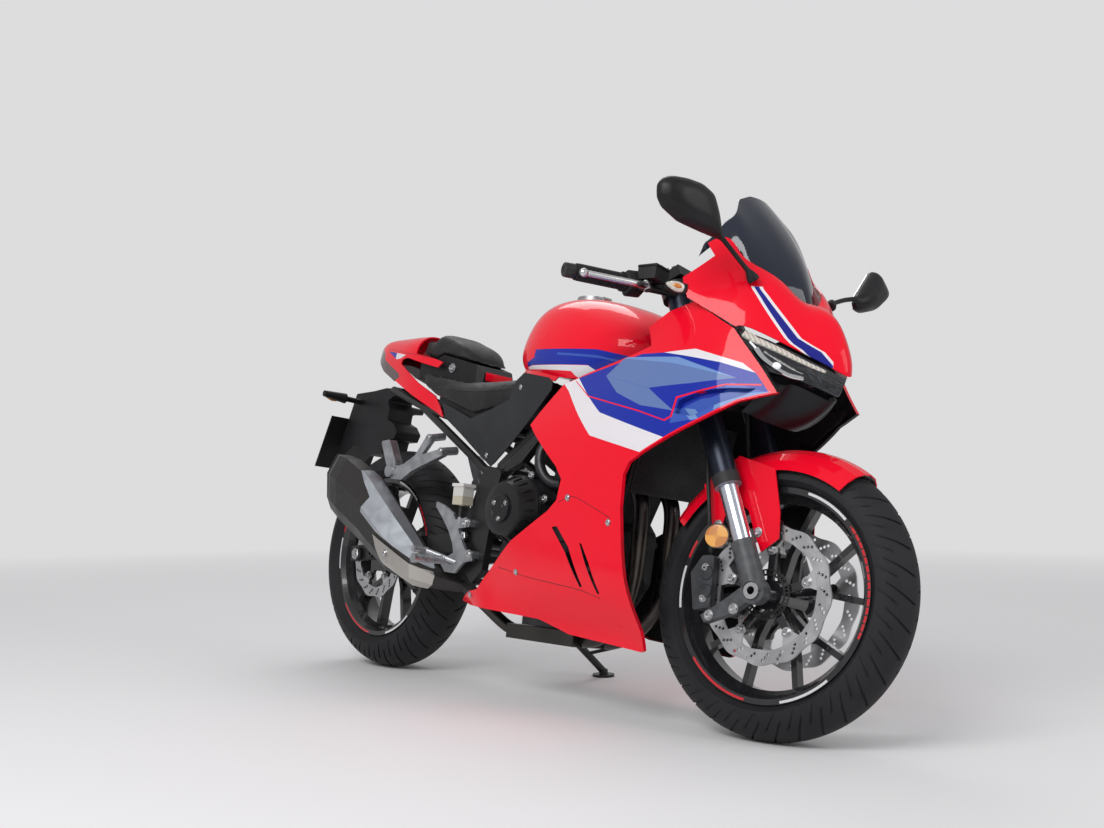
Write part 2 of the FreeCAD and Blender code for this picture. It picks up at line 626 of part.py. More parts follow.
# Muffler: a faceted can that rises to the rear, outside the swingarm
can = []
for x, low, high, inner_y, outer_y in ((-213, 216, 252, -80, -110), (-240, 237, 270, -86, -116), (-275, 238, 290, -112, -172),
                                       (-330, 246, 330, -146, -222),
                                       (-450, 274, 424, -148, -238), (-583, 346, 524, -148, -243),
                                       (-700, 400, 576, -150, -242), (-762, 432, 590, -154, -234)):
    mid = (low + high) / 2
    tall = (high - low) / 2
    wide = inner_y - outer_y
    can.append([(x, inner_y, mid + 0.55 * tall), (x, inner_y - 0.16 * wide, high), (x, outer_y + 0.32 * wide, high - 3),
                (x, outer_y, mid + 0.25 * tall), (x, outer_y + 0.09 * wide, mid - 0.6 * tall),
                (x, outer_y + 0.29 * wide, low), (x, inner_y - 0.13 * wide, low + 4), (x, inner_y, mid - 0.5 * tall)])
muffler = loft(can, True)
pieces["muffler"] = muffler.cut(pieces["exhaust_pipes"])


# Muffler shields: folded sheet covers over the can, one high outside and one low in front
def grown(grow):
    rings = []
    for ring in can:
        y = sum(p[1] for p in ring) / len(ring)
        z = sum(p[2] for p in ring) / len(ring)
        wide = max(abs(p[1] - y) for p in ring)
        tall = max(abs(p[2] - z) for p in ring)
        rings.append([(p[0], y + (p[1] - y) * (1 + grow / wide), z + (p[2] - z) * (1 + grow / tall)) for p in ring])
    return loft(rings, True)


sheet_gap = 1.5
sheet_cover = grown(sheet_gap + panel).cut(grown(sheet_gap))
upper_shield = [(-616, 540), (-541, 466), (-554, 424), (-477, 374), (-371, 327), (-290, 291), (-262, 303), (-262, 340),
                (-436, 500), (-540, 600), (-640, 610), (-655, 575)]
lower_shield = [(-490, 366), (-474, 328), (-443, 290), (-299, 225), (-246, 225), (-246, 274), (-306, 288), (-370, 314),
                (-449, 349)]
pieces["muffler_shield_upper"] = largest(sheet_cover.common(side_plate(upper_shield, -300, -172)))
pieces["muffler_shield_lower"] = largest(sheet_cover.common(side_plate(lower_shield, -300, -178)))

# Fuel tank: arched sections from the seat to the steering head
tank_sections = ((-130, 815, 60, 860, 44, 892), (-116, 812, 90, 868, 62, 918), (-84, 806, 114, 878, 76, 948),
                 (-34, 796, 134, 886, 88, 971), (40, 782, 149, 888, 95, 980), (130, 766, 156, 880, 94, 972),
                 (220, 770, 152, 866, 82, 948), (295, 790, 130, 856, 62, 919), (338, 806, 92, 844, 44, 894))


def tank_body(grow):
    rings = []
    for x, low, wide, mid, shoulder, top in tank_sections:
        w = wide + grow
        rings.append(arch(x - grow, [(w - 14, low - grow), (w, (low + mid) / 2), (w - 6, mid), (shoulder + grow, top - 16 + grow),
                                     (0, top + grow)]))
    return Part.makeLoft(rings, True)


tank_cap_x = 30.0
tank_cap_z = 980.0
pieces["fuel_tank"] = tank_body(0)

# Fuel filler cap: a hinged disc on the tank
cap = rod((tank_cap_x, 0, tank_cap_z + 3), (tank_cap_x, 0, tank_cap_z + 12), 42)
cap_hinge_x = tank_cap_x + 46.0
cap_hinge_z = tank_cap_z + 8.5
cap_barrel = rod((cap_hinge_x, -12, cap_hinge_z), (cap_hinge_x, 12, cap_hinge_z), 4.5)
cap_arm = block(tank_cap_x + 30, cap_hinge_x, -9, 9, tank_cap_z + 6, tank_cap_z + 12)
pieces["fuel_cap"] = fuse([cap, cap_arm, cap_barrel])

# Panels: a smooth outer grid and an inner grid set in by the panel's thickness
def set_in(grid, depth):
    inner = []
    for i, row in enumerate(grid):
        line = []
        for j, p in enumerate(row):
            a = vec(grid[min(i + 1, len(grid) - 1)][j]) - vec(grid[max(i - 1, 0)][j])
            b = vec(row[min(j + 1, len(row) - 1)]) - vec(row[max(j - 1, 0)])
            line.append(tuple(vec(p) + a.cross(b).normalize() * depth))
        inner.append(line)
    return inner


def both_sides(half):
    # Rows that start on the middle plane, carried over to the other side
    return [[(x, -y, z) for x, y, z in row[:0:-1]] + [tuple(p) for p in row] for row in half]


def side_view_cut(solid, outline, y0=-420, y1=420):
    return solid.common(side_plate(outline, y0, y1))


# Upper cowl: from the headlamps' upper edge to the screen, with an ear at each side
cowl_rows = [
    [(822, 0, 756), (798, 34, 772), (758, 72, 795), (708, 114, 822), (655, 152, 843), (590, 182, 862), (490, 196, 872)],
    [(807, 0, 820), (785, 31, 828), (743, 68, 848), (698, 108, 872), (646, 145, 894), (580, 174, 920), (490, 188, 932)],
    [(773, 0, 876), (753, 28, 880), (719, 62, 900), (682, 98, 925), (630, 132, 950), (567, 162, 978), (490, 178, 994)],
    [(712, 0, 911), (704, 26, 914), (688, 56, 938), (655, 88, 968), (606, 116, 1004), (552, 144, 1034), (490, 166, 1056)]]
cowl_rear = [(860, 690), (655, 837), (548, 901), (530, 945), (570, 997), (525, 1049), (525, 1090), (860, 1090)]
cowl_outer = both_sides(cowl_rows)
cowl = shell_between(cowl_outer, set_in(cowl_outer, -panel))
pieces["upper_cowl"] = side_view_cut(cowl, cowl_rear)

# Windscreen: rises from inside the cowl's upper edge to a rounded top
screen_rows = [
    [(704, 0, 905), (694, 24, 909), (674, 50, 932), (641, 79, 960), (592, 107, 996), (540, 136, 1026), (470, 158, 1046)],
    [(636, 0, 1046), (630, 24, 1050), (614, 49, 1056), (594, 76, 1066), (566, 103, 1082), (530, 130, 1098), (466, 152, 1110)],
    [(524, 0, 1172), (521, 24, 1171), (515, 48, 1169), (508, 73, 1166), (500, 99, 1162), (490, 125, 1158), (462, 146, 1154)]]
screen_front = [(-170, 860), (170, 860), (150, 1030), (128, 1062), (100, 1099), (62, 1146), (26, 1163), (-26, 1163),
                (-62, 1146), (-100, 1099), (-128, 1062), (-150, 1030)]
screen_outer = both_sides(screen_rows)
screen = shell_between(screen_outer, set_in(screen_outer, -panel))
front_wire = corners(screen_front, 22)
front_wire = front_wire.transformGeometry(FreeCAD.Matrix(0, 0, 1, 400, 1, 0, 0, 0, 0, 1, 0, 0))
pieces["windscreen"] = screen.common(Part.Face(front_wire).extrude(V(500, 0, 0)))

# Headlamp unit: two slit lamps joined by the nose grille, set back under the cowl
lamp_rows = [
    [(818, 0, 751), (794, 34, 767), (754, 72, 790), (704, 113, 817), (650, 149, 838)],
    [(806, 0, 734), (784, 34, 748), (746, 73, 768), (706, 113, 785), (654, 150, 830)],
    [(800, 0, 716), (780, 34, 728), (744, 73, 744), (714, 112, 752), (660, 150, 819)]]
lamp_outer = both_sides(lamp_rows)
lamp_depth = 24.0
lamp_slices = []
for column in zip(*lamp_outer):
    back = [(x - lamp_depth, y * 0.94, z) for x, y, z in column]
    lamp_slices.append(list(column) + back[::-1])
pieces["headlamps"] = quilt(lamp_slices)

# Inner nose panel: closes the space under the headlamps, above the front wheel
chin_rows = [
    [(790, 0, 705), (770, 34, 717), (736, 72, 732), (702, 108, 741)],
    [(748, 0, 672), (732, 34, 682), (704, 73, 696), (680, 108, 708)],
    [(690, 0, 650), (680, 34, 654), (660, 73, 664), (640, 104, 676)]]
chin_outer = both_sides(chin_rows)
pieces["nose_panel"] = shell_between(chin_outer, set_in(chin_outer, -panel))

# Side fairings: one convex panel each side, from the wing beside the headlamp to the sill
fairing_x = (-320, -150, 0, 150, 300, 450, 600, 690, 770)
fairing_width = {
    140: (108, 126, 136, 141, 145, 147, 148, 148, 148),
    250: (128, 148, 160, 170, 180, 190, 194, 194, 194),
    400: (158, 178, 191, 202, 210, 214, 213, 210, 206),
    550: (170, 190, 205, 215, 220, 222, 214, 196, 170),
    650: (165, 180, 193, 207, 217, 222, 204, 178, 146),
    750: (150, 160, 166, 174, 188, 200, 190, 158, 122),
    850: (140, 150, 152, 156, 166, 178, 178, 152, 118),
    950: (140, 148, 150, 154, 160, 166, 164, 146, 116)}
fairing_outline = [
    (757, 704), (685, 683), (613, 643), (477, 574), (442, 555), (427, 528), (423, 460), (432, 393), (447, 310),
    (471, 201), (469, 158), (460, 154), (210, 170), (107, 196), (-192, 209), (-236, 217), (-168, 244), (-135, 250),
    (-96, 284), (30, 373), (175, 446), (208, 471), (222, 519), (200, 548), (103, 625), (76, 648), (153, 745),
    (235, 766), (360, 793), (435, 812), (414, 855), (473, 883), (545, 899), (653, 835)]


wing_pocket = [(724, 714), (654, 714), (600, 706), (556, 687), (549, 655), (596, 648), (650, 676), (700, 694)]
slot_vents = ([(194, 410), (212, 413), (258, 367), (304, 282), (296, 280), (246, 356)],
              [(296, 378), (304, 376), (330, 338), (363, 270), (355, 269), (320, 332)])
edge_depth = 9.0
pocket_depth = 16.0


def inset(outline, depth):
    # The same outline with every side moved inwards
    area = sum(a[0] * b[1] - b[0] * a[1] for a, b in zip(outline, outline[1:] + outline[:1]))
    turn = 1 if area > 0 else -1
    moved = []
    for k in range(len(outline)):
        before, here, after = outline[k - 1], outline[k], outline[(k + 1) % len(outline)]
        u = V(here[0] - before[0], here[1] - before[1], 0).normalize()
        w = V(after[0] - here[0], after[1] - here[1], 0).normalize()
        m = V(-u.y - w.y, u.x + w.x, 0) * (turn * depth / (1 + u.dot(w)))
        moved.append((here[0] + m.x, here[1] + m.y))
    return moved


def prism(outline):
    return side_plate(outline, -300, -60)


def fairing():
    grid = [[(x, -w, z) for x, w in zip(fairing_x, row)] for z, row in fairing_width.items()]
    skin = shell_between(grid, set_in(grid, panel)).common(prism(fairing_outline))
    rim_wall = shell_between(grid, set_in(grid, edge_depth)).common(
        prism(fairing_outline).cut(prism(inset(fairing_outline, panel))))
    pocket_floor = shell_between(set_in(grid, pocket_depth - panel), set_in(grid, pocket_depth))
    pocket_wall = shell_between(grid, set_in(grid, pocket_depth)).common(prism(wing_pocket).cut(prism(inset(wing_pocket, panel))))
    whole = fuse([skin, rim_wall]).cut(prism(wing_pocket))
    whole = fuse([whole, pocket_wall, pocket_floor.common(prism(wing_pocket))])
    return whole.cut(Part.makeCompound([prism(slot) for slot in slot_vents]))


pieces["fairing_right"] = fairing()
stand_room = side_plate([(-330, 150), (-100, 150), (-108, 275), (-330, 300)], -300, -60)
pieces["fairing_left"] = mirrored(pieces["fairing_right"].cut(stand_room))

# Side covers: flat dark panels under the seat's nose
cover_outline = [(-64, 770), (-30, 787), (74, 768), (92, 756), (88, 738), (8, 674), (-75, 614), (-146, 570), (-164, 562),
                 (-222, 594), (-314, 648), (-398, 694), (-428, 740), (-364, 720), (-271, 687), (-189, 702), (-92, 726)]
cover_x = (-420, -250, -100, 30, 130)
cover_width = {540: (100, 112, 126, 136, 140), 660: (104, 120, 136, 148, 154), 800: (106, 126, 142, 158, 164)}


def side_cover():
    grid = [[(x, -w, z) for x, w in zip(cover_x, row)] for z, row in cover_width.items()]
    return side_view_cut(shell_between(grid, set_in(grid, panel)), cover_outline, -300, -60)


pieces["side_cover_right"] = side_cover()
pieces["side_cover_left"] = mirrored(pieces["side_cover_right"])

# Rider's seat: a scooped pad whose skirts drop lowest beside the frame
seat_sections = ((-100, 92, 778, 800), (-160, 106, 776, 796), (-265, 124, 774, 793), (-370, 128, 786, 797),
                 (-450, 123, 808, 801), (-520, 114, 832, 806), (-552, 106, 841, 808))
seat_outline = [(-100, 850), (-98, 736), (-189, 711), (-271, 696), (-364, 729), (-449, 760), (-494, 785), (-515, 807),
                (-539, 839), (-546, 850)]
seat_rings = [arch(x, [(wide - 4, 680), (wide, 720), (wide - 3, edge - 12), (wide - 18, edge), (wide * 0.45, top - 2), (0, top)])
              for x, wide, edge, top in seat_sections]
seat_solid = side_view_cut(Part.makeLoft(seat_rings, True), seat_outline).cut(tank_body(3))

# Pillion seat: a steep hump behind the rider, on a dark base with a lock
pillion_sections = ((-336, 46, 826), (-356, 66, 849), (-373, 76, 870), (-405, 86, 899), (-436, 90, 914), (-466, 91, 925),
                    (-514, 90, 935), (-574, 86, 938))
pillion_rings = [arch(x, [(wide, 780), (wide, (780 + top) / 2), (wide - 12, top - 14), (wide * 0.55, top - 2), (0, top)])
                 for x, wide, top in pillion_sections]
pillion_outline = [(-330, 824), (-346, 843), (-398, 859), (-469, 876), (-502, 865), (-572, 879), (-572, 980), (-330, 980)]
pieces["pillion_seat"] = side_view_cut(Part.makeLoft(pillion_rings, True), pillion_outline)
base_sections = ((-324, 50), (-345, 62), (-400, 76), (-470, 84), (-572, 88))
base_outline = [(-326, 796), (-324, 822), (-344, 841), (-398, 857), (-469, 874), (-502, 863), (-570, 876), (-572, 812),
                (-400, 780), (-340, 780)]
base_rings = [[(x, -w, 760), (x, w, 760), (x, w - 4, 900), (x, 4 - w, 900)] for x, w in base_sections]
seat_base = side_view_cut(loft(base_rings, True), base_outline)
pieces["seat_base"] = seat_base
base_room = side_plate([(x - 2, z - 3) if x < -400 else (x + 2, z - 3) for x, z in base_outline[-3:]]
                       + [(-322, 790), (-320, 900), (-600, 900), (-600, 812)], -92, 92)
pieces["seat"] = largest(seat_solid.cut(base_room))

# Tail cowl: a red shell behind the pillion seat with a wedge along each side
tail_sections = ((-400, 114, 932), (-575, 101, 938), (-660, 92, 942), (-750, 76, 945), (-820, 60, 943), (-862, 38, 932))


def tail_solid(set_back):
    rings = []
    for x, wide, top in tail_sections:
        w = wide - set_back
        t = top - set_back
        rings.append(arch(x, [(w, 640), (w, 700), (w, 760), (w - 1, 830), (w - 8, t - 30), (w * 0.62, t - 4), (0, t)]))
    return Part.makeLoft(rings, True)


tail_outline = [(-576, 960), (-848, 960), (-846, 934), (-792, 904), (-776, 882), (-670, 832), (-667, 821), (-696, 816),
                (-417, 697), (-413, 700), (-468, 759), (-555, 799), (-660, 860), (-651, 871), (-623, 874), (-546, 854),
                (-470, 836), (-446, 849), (-488, 862), (-576, 881)]
tail_skin = tail_solid(0).cut(tail_solid(panel))
pieces["tail_cowl"] = side_view_cut(tail_skin, tail_outline)

# Tail lamp: a dark lens that closes the end of the tail
lamp_outline = [(-866, 945), (-846, 934), (-792, 904), (-776, 882), (-670, 832), (-667, 821), (-700, 814), (-782, 850),
                (-815, 874), (-866, 916)]
tail_lamp = tail_solid(0).common(side_plate(lamp_outline, -90, 90))
pieces["tail_lamp"] = tail_lamp.cut(tail_solid(24)).cut(pieces["tail_cowl"])

# Rear mudguard: carries the number plate and the rear direction indicators
holder_outline = [(-690, 784), (-692, 797), (-800, 806), (-862, 800), (-958, 796), (-984, 735), (-1033, 628), (-1010, 600),
                  (-945, 640), (-853, 607), (-788, 616), (-779, 654), (-735, 655), (-722, 676), (-745, 700), (-778, 712),
                  (-772, 745), (-786, 768), (-760, 780)]
holder = side_plate(holder_outline, -42, 42, 6)
rail_room = [rod((-752, -60, 797), (-752, 60, 797), 12)]
rail_room += [rod((-555, s * 77, 738), (-752, s * 46, 797), 13) for s in (-1, 1)]
rail_room += [Part.makeSphere(13, V(-752, s * 46, 797)) for s in (-1, 1)]
holder = holder.cut(Part.makeCompound(rail_room))
holder_parts = [holder]
for s in (-1, 1):
    holder_parts.append(rod((-922, s * 30, 768), (-922, s * 108, 770), 8))
    holder_parts.append(taper((-922, s * 104, 770), (-922, s * 176, 773), 15, 9))
pieces["rear_mudguard"] = fuse(holder_parts)

# Number plate: blank, on two bolts
plate_low = V(-1071, 0, 570)
plate_high = V(-1000, 0, 722)
plate_up = (plate_high - plate_low).normalize()
plate_out = V(-plate_up.z, 0, plate_up.x)
plate_half = 95.0
plate_t = 3.0
plate_points = [plate_low + V(0, -plate_half, 0), plate_low + V(0, plate_half, 0), plate_high + V(0, plate_half, 0),
                plate_high + V(0, -plate_half, 0)]
number_plate = Part.Face(Part.makePolygon(plate_points + plate_points[:1])).extrude(plate_out * plate_t)
pieces["number_plate"] = number_plate

# Mirrors: an angular head on a stalk from the cowl, toed out a little; the left one is set lower
mirror_toe = math.radians(14)
mirror_right_outline = [(75, 30), (66, 44), (50, 52), (12, 55), (-25, 52), (-58, 36), (-75, 0), (-88, -44), (-80, -50),
                        (-34, -44), (19, -35), (60, -14), (73, 4)]
mirror_left_outline = [(-8, 12), (0, 17), (10, 14), (50, -2), (78, -17), (80, -24), (60, -42), (8, -76), (-50, -94),
                       (-76, -94), (-86, -80), (-80, -62), (-61, -43)]


def mirror(outline, side, middle, stalk):
    fore = V(math.cos(mirror_toe), side * math.sin(mirror_toe), 0)
    out = V(-side * math.sin(mirror_toe), math.cos(mirror_toe), 0) * side
    mid_u = sum(u for u, v in outline) / len(outline)
    mid_v = sum(v for u, v in outline) / len(outline)
    rings = []
    for ahead, grow in ((-10, 0.95), (-3, 1.0), (12, 0.93), (24, 0.74), (31, 0.42)):
        ring = []
        for u, v in outline:
            p = middle + fore * ahead + out * (mid_u + (u - mid_u) * grow) + V(0, 0, mid_v + (v - mid_v) * grow)
            ring.append((p.x, p.y, p.z))
        rings.append(ring)
    parts = [loft(rings, True), frame_tube(stalk, 7)]
    parts.append(taper((659, side * 126, 940), (654, side * 140, 956), 16, 10))
    return largest(fuse(parts).cut(cowl))


pieces["mirror_right"] = mirror(mirror_right_outline, -1, V(624, -305, 1052),
                                [(656, -128, 948), (646, -180, 985), (644, -252, 1026)])
pieces["mirror_left"] = mirror(mirror_left_outline, 1, V(624, 312, 1052),
                               [(656, 128, 948), (646, 190, 972), (642, 318, 1010)])

# Instrument panel behind the screen
dash = block(-10, 12, -92, 92, -42, 42)
dash.rotate(V(0, 0, 0), V(0, 1, 0), -32)
dash.translate(V(520, 0, 985))
pieces["instrument_panel"] = dash

# Front direction indicators on the cowl's rear edges
for side, s in (("right", -1), ("left", 1)):
    stalk = rod((544, s * 191, 915), (536, s * 200, 918), 7)
    head_piece = taper((536, s * 199, 918), (514, s * 236, 924), 14, 8)
    pieces["front_indicator_" + side] = largest(fuse([stalk, head_piece]).cut(cowl))


# Rider's footrests: hanger plates with a heel guard, peg and pedal, the brake reservoir on the right one
def footrest():
    y = -plate_far - 18
    hanger = [(-326, 465), (-295, 457), (-248, 436), (-236, 420), (-190, 427), (-172, 418), (-178, 404), (-222, 398),
              (-206, 374), (-184, 346), (-152, 342), (-150, 320), (-186, 313), (-222, 284), (-262, 286), (-290, 312),
              (-262, 322), (-232, 336), (-240, 360), (-262, 392), (-300, 430), (-326, 452)]
    parts = [side_plate(hanger, y - 8, y)]
    for x, z in ((-192, 414), (-164, 334)):
        parts.append(rod((x, -plate_far - clearance, z), (x, y - 4, z), 10))
    parts.append(rod((-250, y, 316), (-250, -262, 312), 9))
    parts.append(rod((-250, -262, 312), (-250, -270, 312), 12))
    parts.append(rod((-222, y - 4, 312), (-292, y - 52, 336), 7))
    parts.append(rod((-292, y - 46, 336), (-294, y - 90, 337), 8))
    return fuse(parts)


reservoir = [block(-241, -199, -172, -138, 458, 504), block(-244, -196, -175, -136, 504, 512)]
reservoir.append(frame_tube([(-222, -155, 462), (-224, -156, 410)], 6))
pieces["footrest_left"] = mirrored(footrest())
pieces["footrest_right"] = fuse([footrest()] + reservoir)


# Pillion footrests: forked hangers from the seat rails with the pegs folded up
def pillion_footrest():
    lower_arm = [(-322, 606), (-326, 586), (-460, 545), (-504, 522), (-553, 524), (-575, 535), (-556, 566), (-520, 560),
                 (-496, 566), (-440, 586)]
    upper_arm = [(-385, 644), (-407, 640), (-452, 588), (-500, 566), (-470, 548), (-432, 580), (-384, 626)]
    peg = [(-540, 546), (-566, 546), (-582, 572), (-613, 628), (-572, 632), (-533, 570)]
    parts = [side_plate(lower_arm, -158, -142, 5), side_plate(upper_arm, -156, -144, 4), side_plate(peg, -162, -138, 5)]
    parts.append(rod((-334, -150, 597), (-334, -108, 605), 11))
    parts.append(rod((-395, -150, 634), (-395, -108, 644), 10))
    parts.append(rod((-556, -168, 545), (-556, -132, 545), 17))
    return fuse(parts)


pieces["pillion_footrest_right"] = pillion_footrest()
pieces["pillion_footrest_left"] = mirrored(pieces["pillion_footrest_right"])

# Side stand: a leg from a lug on the left pivot plate to a foot flat on the ground
leaning = FreeCAD.Rotation(V(1, 0, 0), -lean)
ground_up = leaning.inverted().multVec(V(0, 0, 1))


def wheel_bottoms(rotation, steer):
    # How far below zero each tyre would reach, for a rotation about the origin
    turned = FreeCAD.Rotation(axis_up, steer)
    front_centre = axis_foot + turned.multVec(front_axle - axis_foot)
    front_across = rotation.multVec(turned.multVec(V(0, 1, 0)))
    rear_across = rotation.multVec(V(0, 1, 0))
    drop_f = (front_r - front_crown_r) * math.sqrt(1 - front_across.z ** 2) + front_crown_r
    drop_r = (rear_r - rear_crown_r) * math.sqrt(1 - rear_across.z ** 2) + rear_crown_r
    return rotation.multVec(front_centre).z - drop_f, rotation.multVec(rear_axle).z - drop_r


attitude = leaning
for step in range(20):
    low_f, low_r = wheel_bottoms(attitude, rest_steer)
    nose_down = FreeCAD.Rotation(V(0, 1, 0), math.degrees((low_f - low_r) / wheelbase))
    attitude = nose_down.multiply(attitude)
low_f, low_r = wheel_bottoms(attitude, rest_steer)
rise = V(0, 0, -low_r)


def ground_point(x, y):
    # The point of the ground under a place in the upright frame, in that frame
    up = attitude.inverted().multVec(V(0, 0, 1))
    return V(x, y, (low_r - up.x * x - up.y * y) / up.z)


foot = ground_point(stand_foot_x, stand_foot_y)
up = attitude.inverted().multVec(V(0, 0, 1))
stand_pivot = V(-190, 125, 218)
stand_hinge = V(0, 0.6405, 0.768)
ankle = foot + up * 14
leg_top = stand_pivot + (ankle - stand_pivot).normalize() * 16
stand_parts = [rod(tuple(leg_top), tuple(ankle), 10), Part.makeCylinder(30, 7, foot, up),
               rod(tuple(foot + up * 5), tuple(ankle + up * 6), 12),
               rod(tuple(stand_pivot - stand_hinge * 9), tuple(stand_pivot + stand_hinge * 9), 17)]
tang_root = stand_pivot + (ankle - stand_pivot) * 0.72
stand_parts.append(rod(tuple(tang_root), tuple(tang_root + V(62, 48, 26)), 5))
stand_bore = rod(tuple(stand_pivot - stand_hinge * 20), tuple(stand_pivot + stand_hinge * 20), 7)
stand_pin = rod(tuple(stand_pivot - stand_hinge * 12), tuple(stand_pivot + stand_hinge * 20), 7 - clearance)
stand_ear = rod(tuple(stand_pivot + stand_hinge * (9 + clearance)), tuple(stand_pivot + stand_hinge * 20), 15)
stand_arm = frame_tube([(-186, 122, 280), (-187, 146, 266), tuple(stand_pivot + stand_hinge * 21)], 9)
stand_space = rod(tuple(stand_pivot - stand_hinge * 12), tuple(stand_pivot + stand_hinge * (9 + clearance)), 19)
pieces["side_stand"] = fuse(stand_parts).cut(stand_bore)
pieces["frame"] = fuse([pieces["frame"], stand_ear, stand_arm]).cut(stand_space).fuse(stand_pin)

# Brake hoses: from a splitter under the lower yoke down behind each fork leg to its caliper
hose_parts = []
splitter = Part.makeBox(24, 150, 14, V(-12, -75, -14))
splitter.rotate(V(0, 0, 0), V(0, 1, 0), -rake)
splitter.translate(vec(on_fork(lower_yoke - 0.5, 10)))
for s in (-1, 1):
    route = [on_fork(lower_yoke - 8, 10, s * 62), on_fork(440, -4, s * 69), on_fork(330, -40, s * 84),
             on_fork(230, -62, s * 89), on_fork(158, -84, s * 82), on_fork(131, -97, s * 70)]
    hose_parts.append(tube(route, 4.5))
pieces["brake_hoses"] = fuse([splitter] + hose_parts)

# Final pose: bars turned to their rest angle, the whole machine leaning on its stand
steered = ["yokes", "fork_left", "fork_right", "front_axle", "front_caliper_left", "front_caliper_right",
           "front_mudguard", "handlebar_left", "handlebar_right", "brake_hoses", "front_wheel", "front_tyre",
           "front_disc_left", "front_disc_right"]


placed = {}
for name, shape in pieces.items():
    copy = shape.copy()
    if name in steered:
        copy.rotate(axis_foot, axis_up, rest_steer)
    copy.Placement = FreeCAD.Placement(rise, attitude).multiply(copy.Placement)
    placed[name] = copy

box = FreeCAD.BoundBox()
for shape in placed.values():
    box.add(shape.optimalBoundingBox(False, False))
origin = V((box.XMin + box.XMax) / 2, (box.YMin + box.YMax) / 2, 0)
for name, shape in placed.items():
    shape.translate(-origin)
    if not shape.isValid() or len(shape.Solids) != 1:
        print("look at", name, shape.isValid(), len(shape.Solids))
    shape.exportStep("parts/" + name + ".step")

print("size", round(box.XLength, 1), round(box.YLength, 1), round(box.ZLength, 1), "low", round(box.ZMin, 3))


# Places of the joints and mounts, in metres from the machine's own zero
def tell(name, point, way, turned=False):
    if turned:
        steer = FreeCAD.Rotation(axis_up, rest_steer)
        point = axis_foot + steer.multVec(point - axis_foot)
        way = steer.multVec(way)
    point = attitude.multVec(point) + rise - origin
    way = attitude.multVec(way)
    print(name + "_pos", [round(c / 1000, 6) for c in point])
    print(name + "_axis", [round(c, 6) for c in way])


tell("steer", vec(on_fork(head_low, stem_line)), axis_up)
tell("front_spin", front_axle, V(0, 1, 0), True)
tell("rear_spin", rear_axle, V(0, 1, 0))
tell("stand", stand_pivot, stand_hinge)
tell("cap", V(cap_hinge_x, 0, cap_hinge_z), V(0, 1, 0))
tell("spindle", front_axle, V(0, 1, 0), True)
tell("stem", vec(on_fork(upper_yoke, stem_line)), axis_up, True)
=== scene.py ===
import json
import math

import bpy
import bmesh
from mathutils import Matrix, Vector


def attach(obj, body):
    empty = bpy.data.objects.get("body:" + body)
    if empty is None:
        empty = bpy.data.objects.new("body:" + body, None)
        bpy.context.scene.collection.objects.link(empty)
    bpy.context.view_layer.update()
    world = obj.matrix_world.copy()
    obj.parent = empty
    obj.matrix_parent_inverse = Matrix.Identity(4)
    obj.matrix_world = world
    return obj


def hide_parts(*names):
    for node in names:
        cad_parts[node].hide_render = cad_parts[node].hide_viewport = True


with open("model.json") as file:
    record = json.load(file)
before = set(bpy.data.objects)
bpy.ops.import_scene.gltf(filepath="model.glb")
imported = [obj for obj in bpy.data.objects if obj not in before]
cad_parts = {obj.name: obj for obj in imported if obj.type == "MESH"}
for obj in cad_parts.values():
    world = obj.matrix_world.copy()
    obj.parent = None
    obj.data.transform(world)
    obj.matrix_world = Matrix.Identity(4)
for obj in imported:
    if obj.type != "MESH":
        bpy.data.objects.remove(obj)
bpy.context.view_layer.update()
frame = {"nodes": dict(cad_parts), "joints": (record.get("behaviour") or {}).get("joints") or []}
nodes = frame["nodes"]

# The machine's upright frame: x forward, y to the rider's left, z up, zero on the
# ground at mid-wheelbase. It is found from the axles and the steering axis, so that
# pieces and paint are laid out on an upright machine and then leant and steered with it.
rake = math.radians(25.5)
joint_of = {joint["name"]: joint for joint in frame["joints"]}
steer_up = Vector(joint_of["steer"]["axis"])


def standing(spin, hub):
    across = Vector(joint_of[spin]["axis"])
    fore = across.cross(steer_up) * math.cos(rake) - steer_up * math.sin(rake)
    up = across.cross(steer_up) * math.sin(rake) + steer_up * math.cos(rake)
    turn = Matrix((fore, across, up)).transposed()
    shift = Vector(joint_of[spin]["pos_m"]) - turn @ Vector(hub)
    return Matrix.Translation(shift) @ turn.to_4x4()


front_hub = Vector((0.705, 0.0, 0.2999))
rear_hub = Vector((-0.705, 0.0, 0.3119))
leaning = standing("rear_wheel_spin", rear_hub)
steered = standing("front_wheel_spin", front_hub)

# The camera: a long way off to the right front, a little above the axles,
# aimed slightly down. Its picture is 1104 by 828 and is shifted so that the
# machine stands in the lower middle.
image_width = 1104
focal_pixels = 1307.5
shift_pixels = 160.0
eye = Vector(joint_of["rear_wheel_spin"]["pos_m"]) + Vector((3.156652, -2.127362, 0.250176))
yaw, pitch, roll = (math.radians(a) for a in (139.3582, -4.4884, -0.178))
ahead = Vector((math.cos(pitch) * math.cos(yaw), math.cos(pitch) * math.sin(yaw), math.sin(pitch)))
level_right = Vector((math.sin(yaw), -math.cos(yaw), 0.0))
level_up = level_right.cross(ahead)
picture_right = level_right * math.cos(roll) + level_up * math.sin(roll)
picture_up = level_up * math.cos(roll) - level_right * math.sin(roll)
lens = bpy.data.cameras.new("camera")
lens.sensor_width = 36.0
lens.lens = focal_pixels / image_width * 36.0
lens.shift_y = shift_pixels / image_width
lens.clip_end = 200.0
camera = bpy.data.objects.new("camera", lens)
camera.matrix_world = Matrix.Translation(eye) @ Matrix(
    (picture_right, picture_up, -ahead)).transposed().to_4x4()
bpy.context.scene.collection.objects.link(camera)
bpy.context.scene.camera = camera
bpy.context.scene.view_settings.view_transform = "Standard"


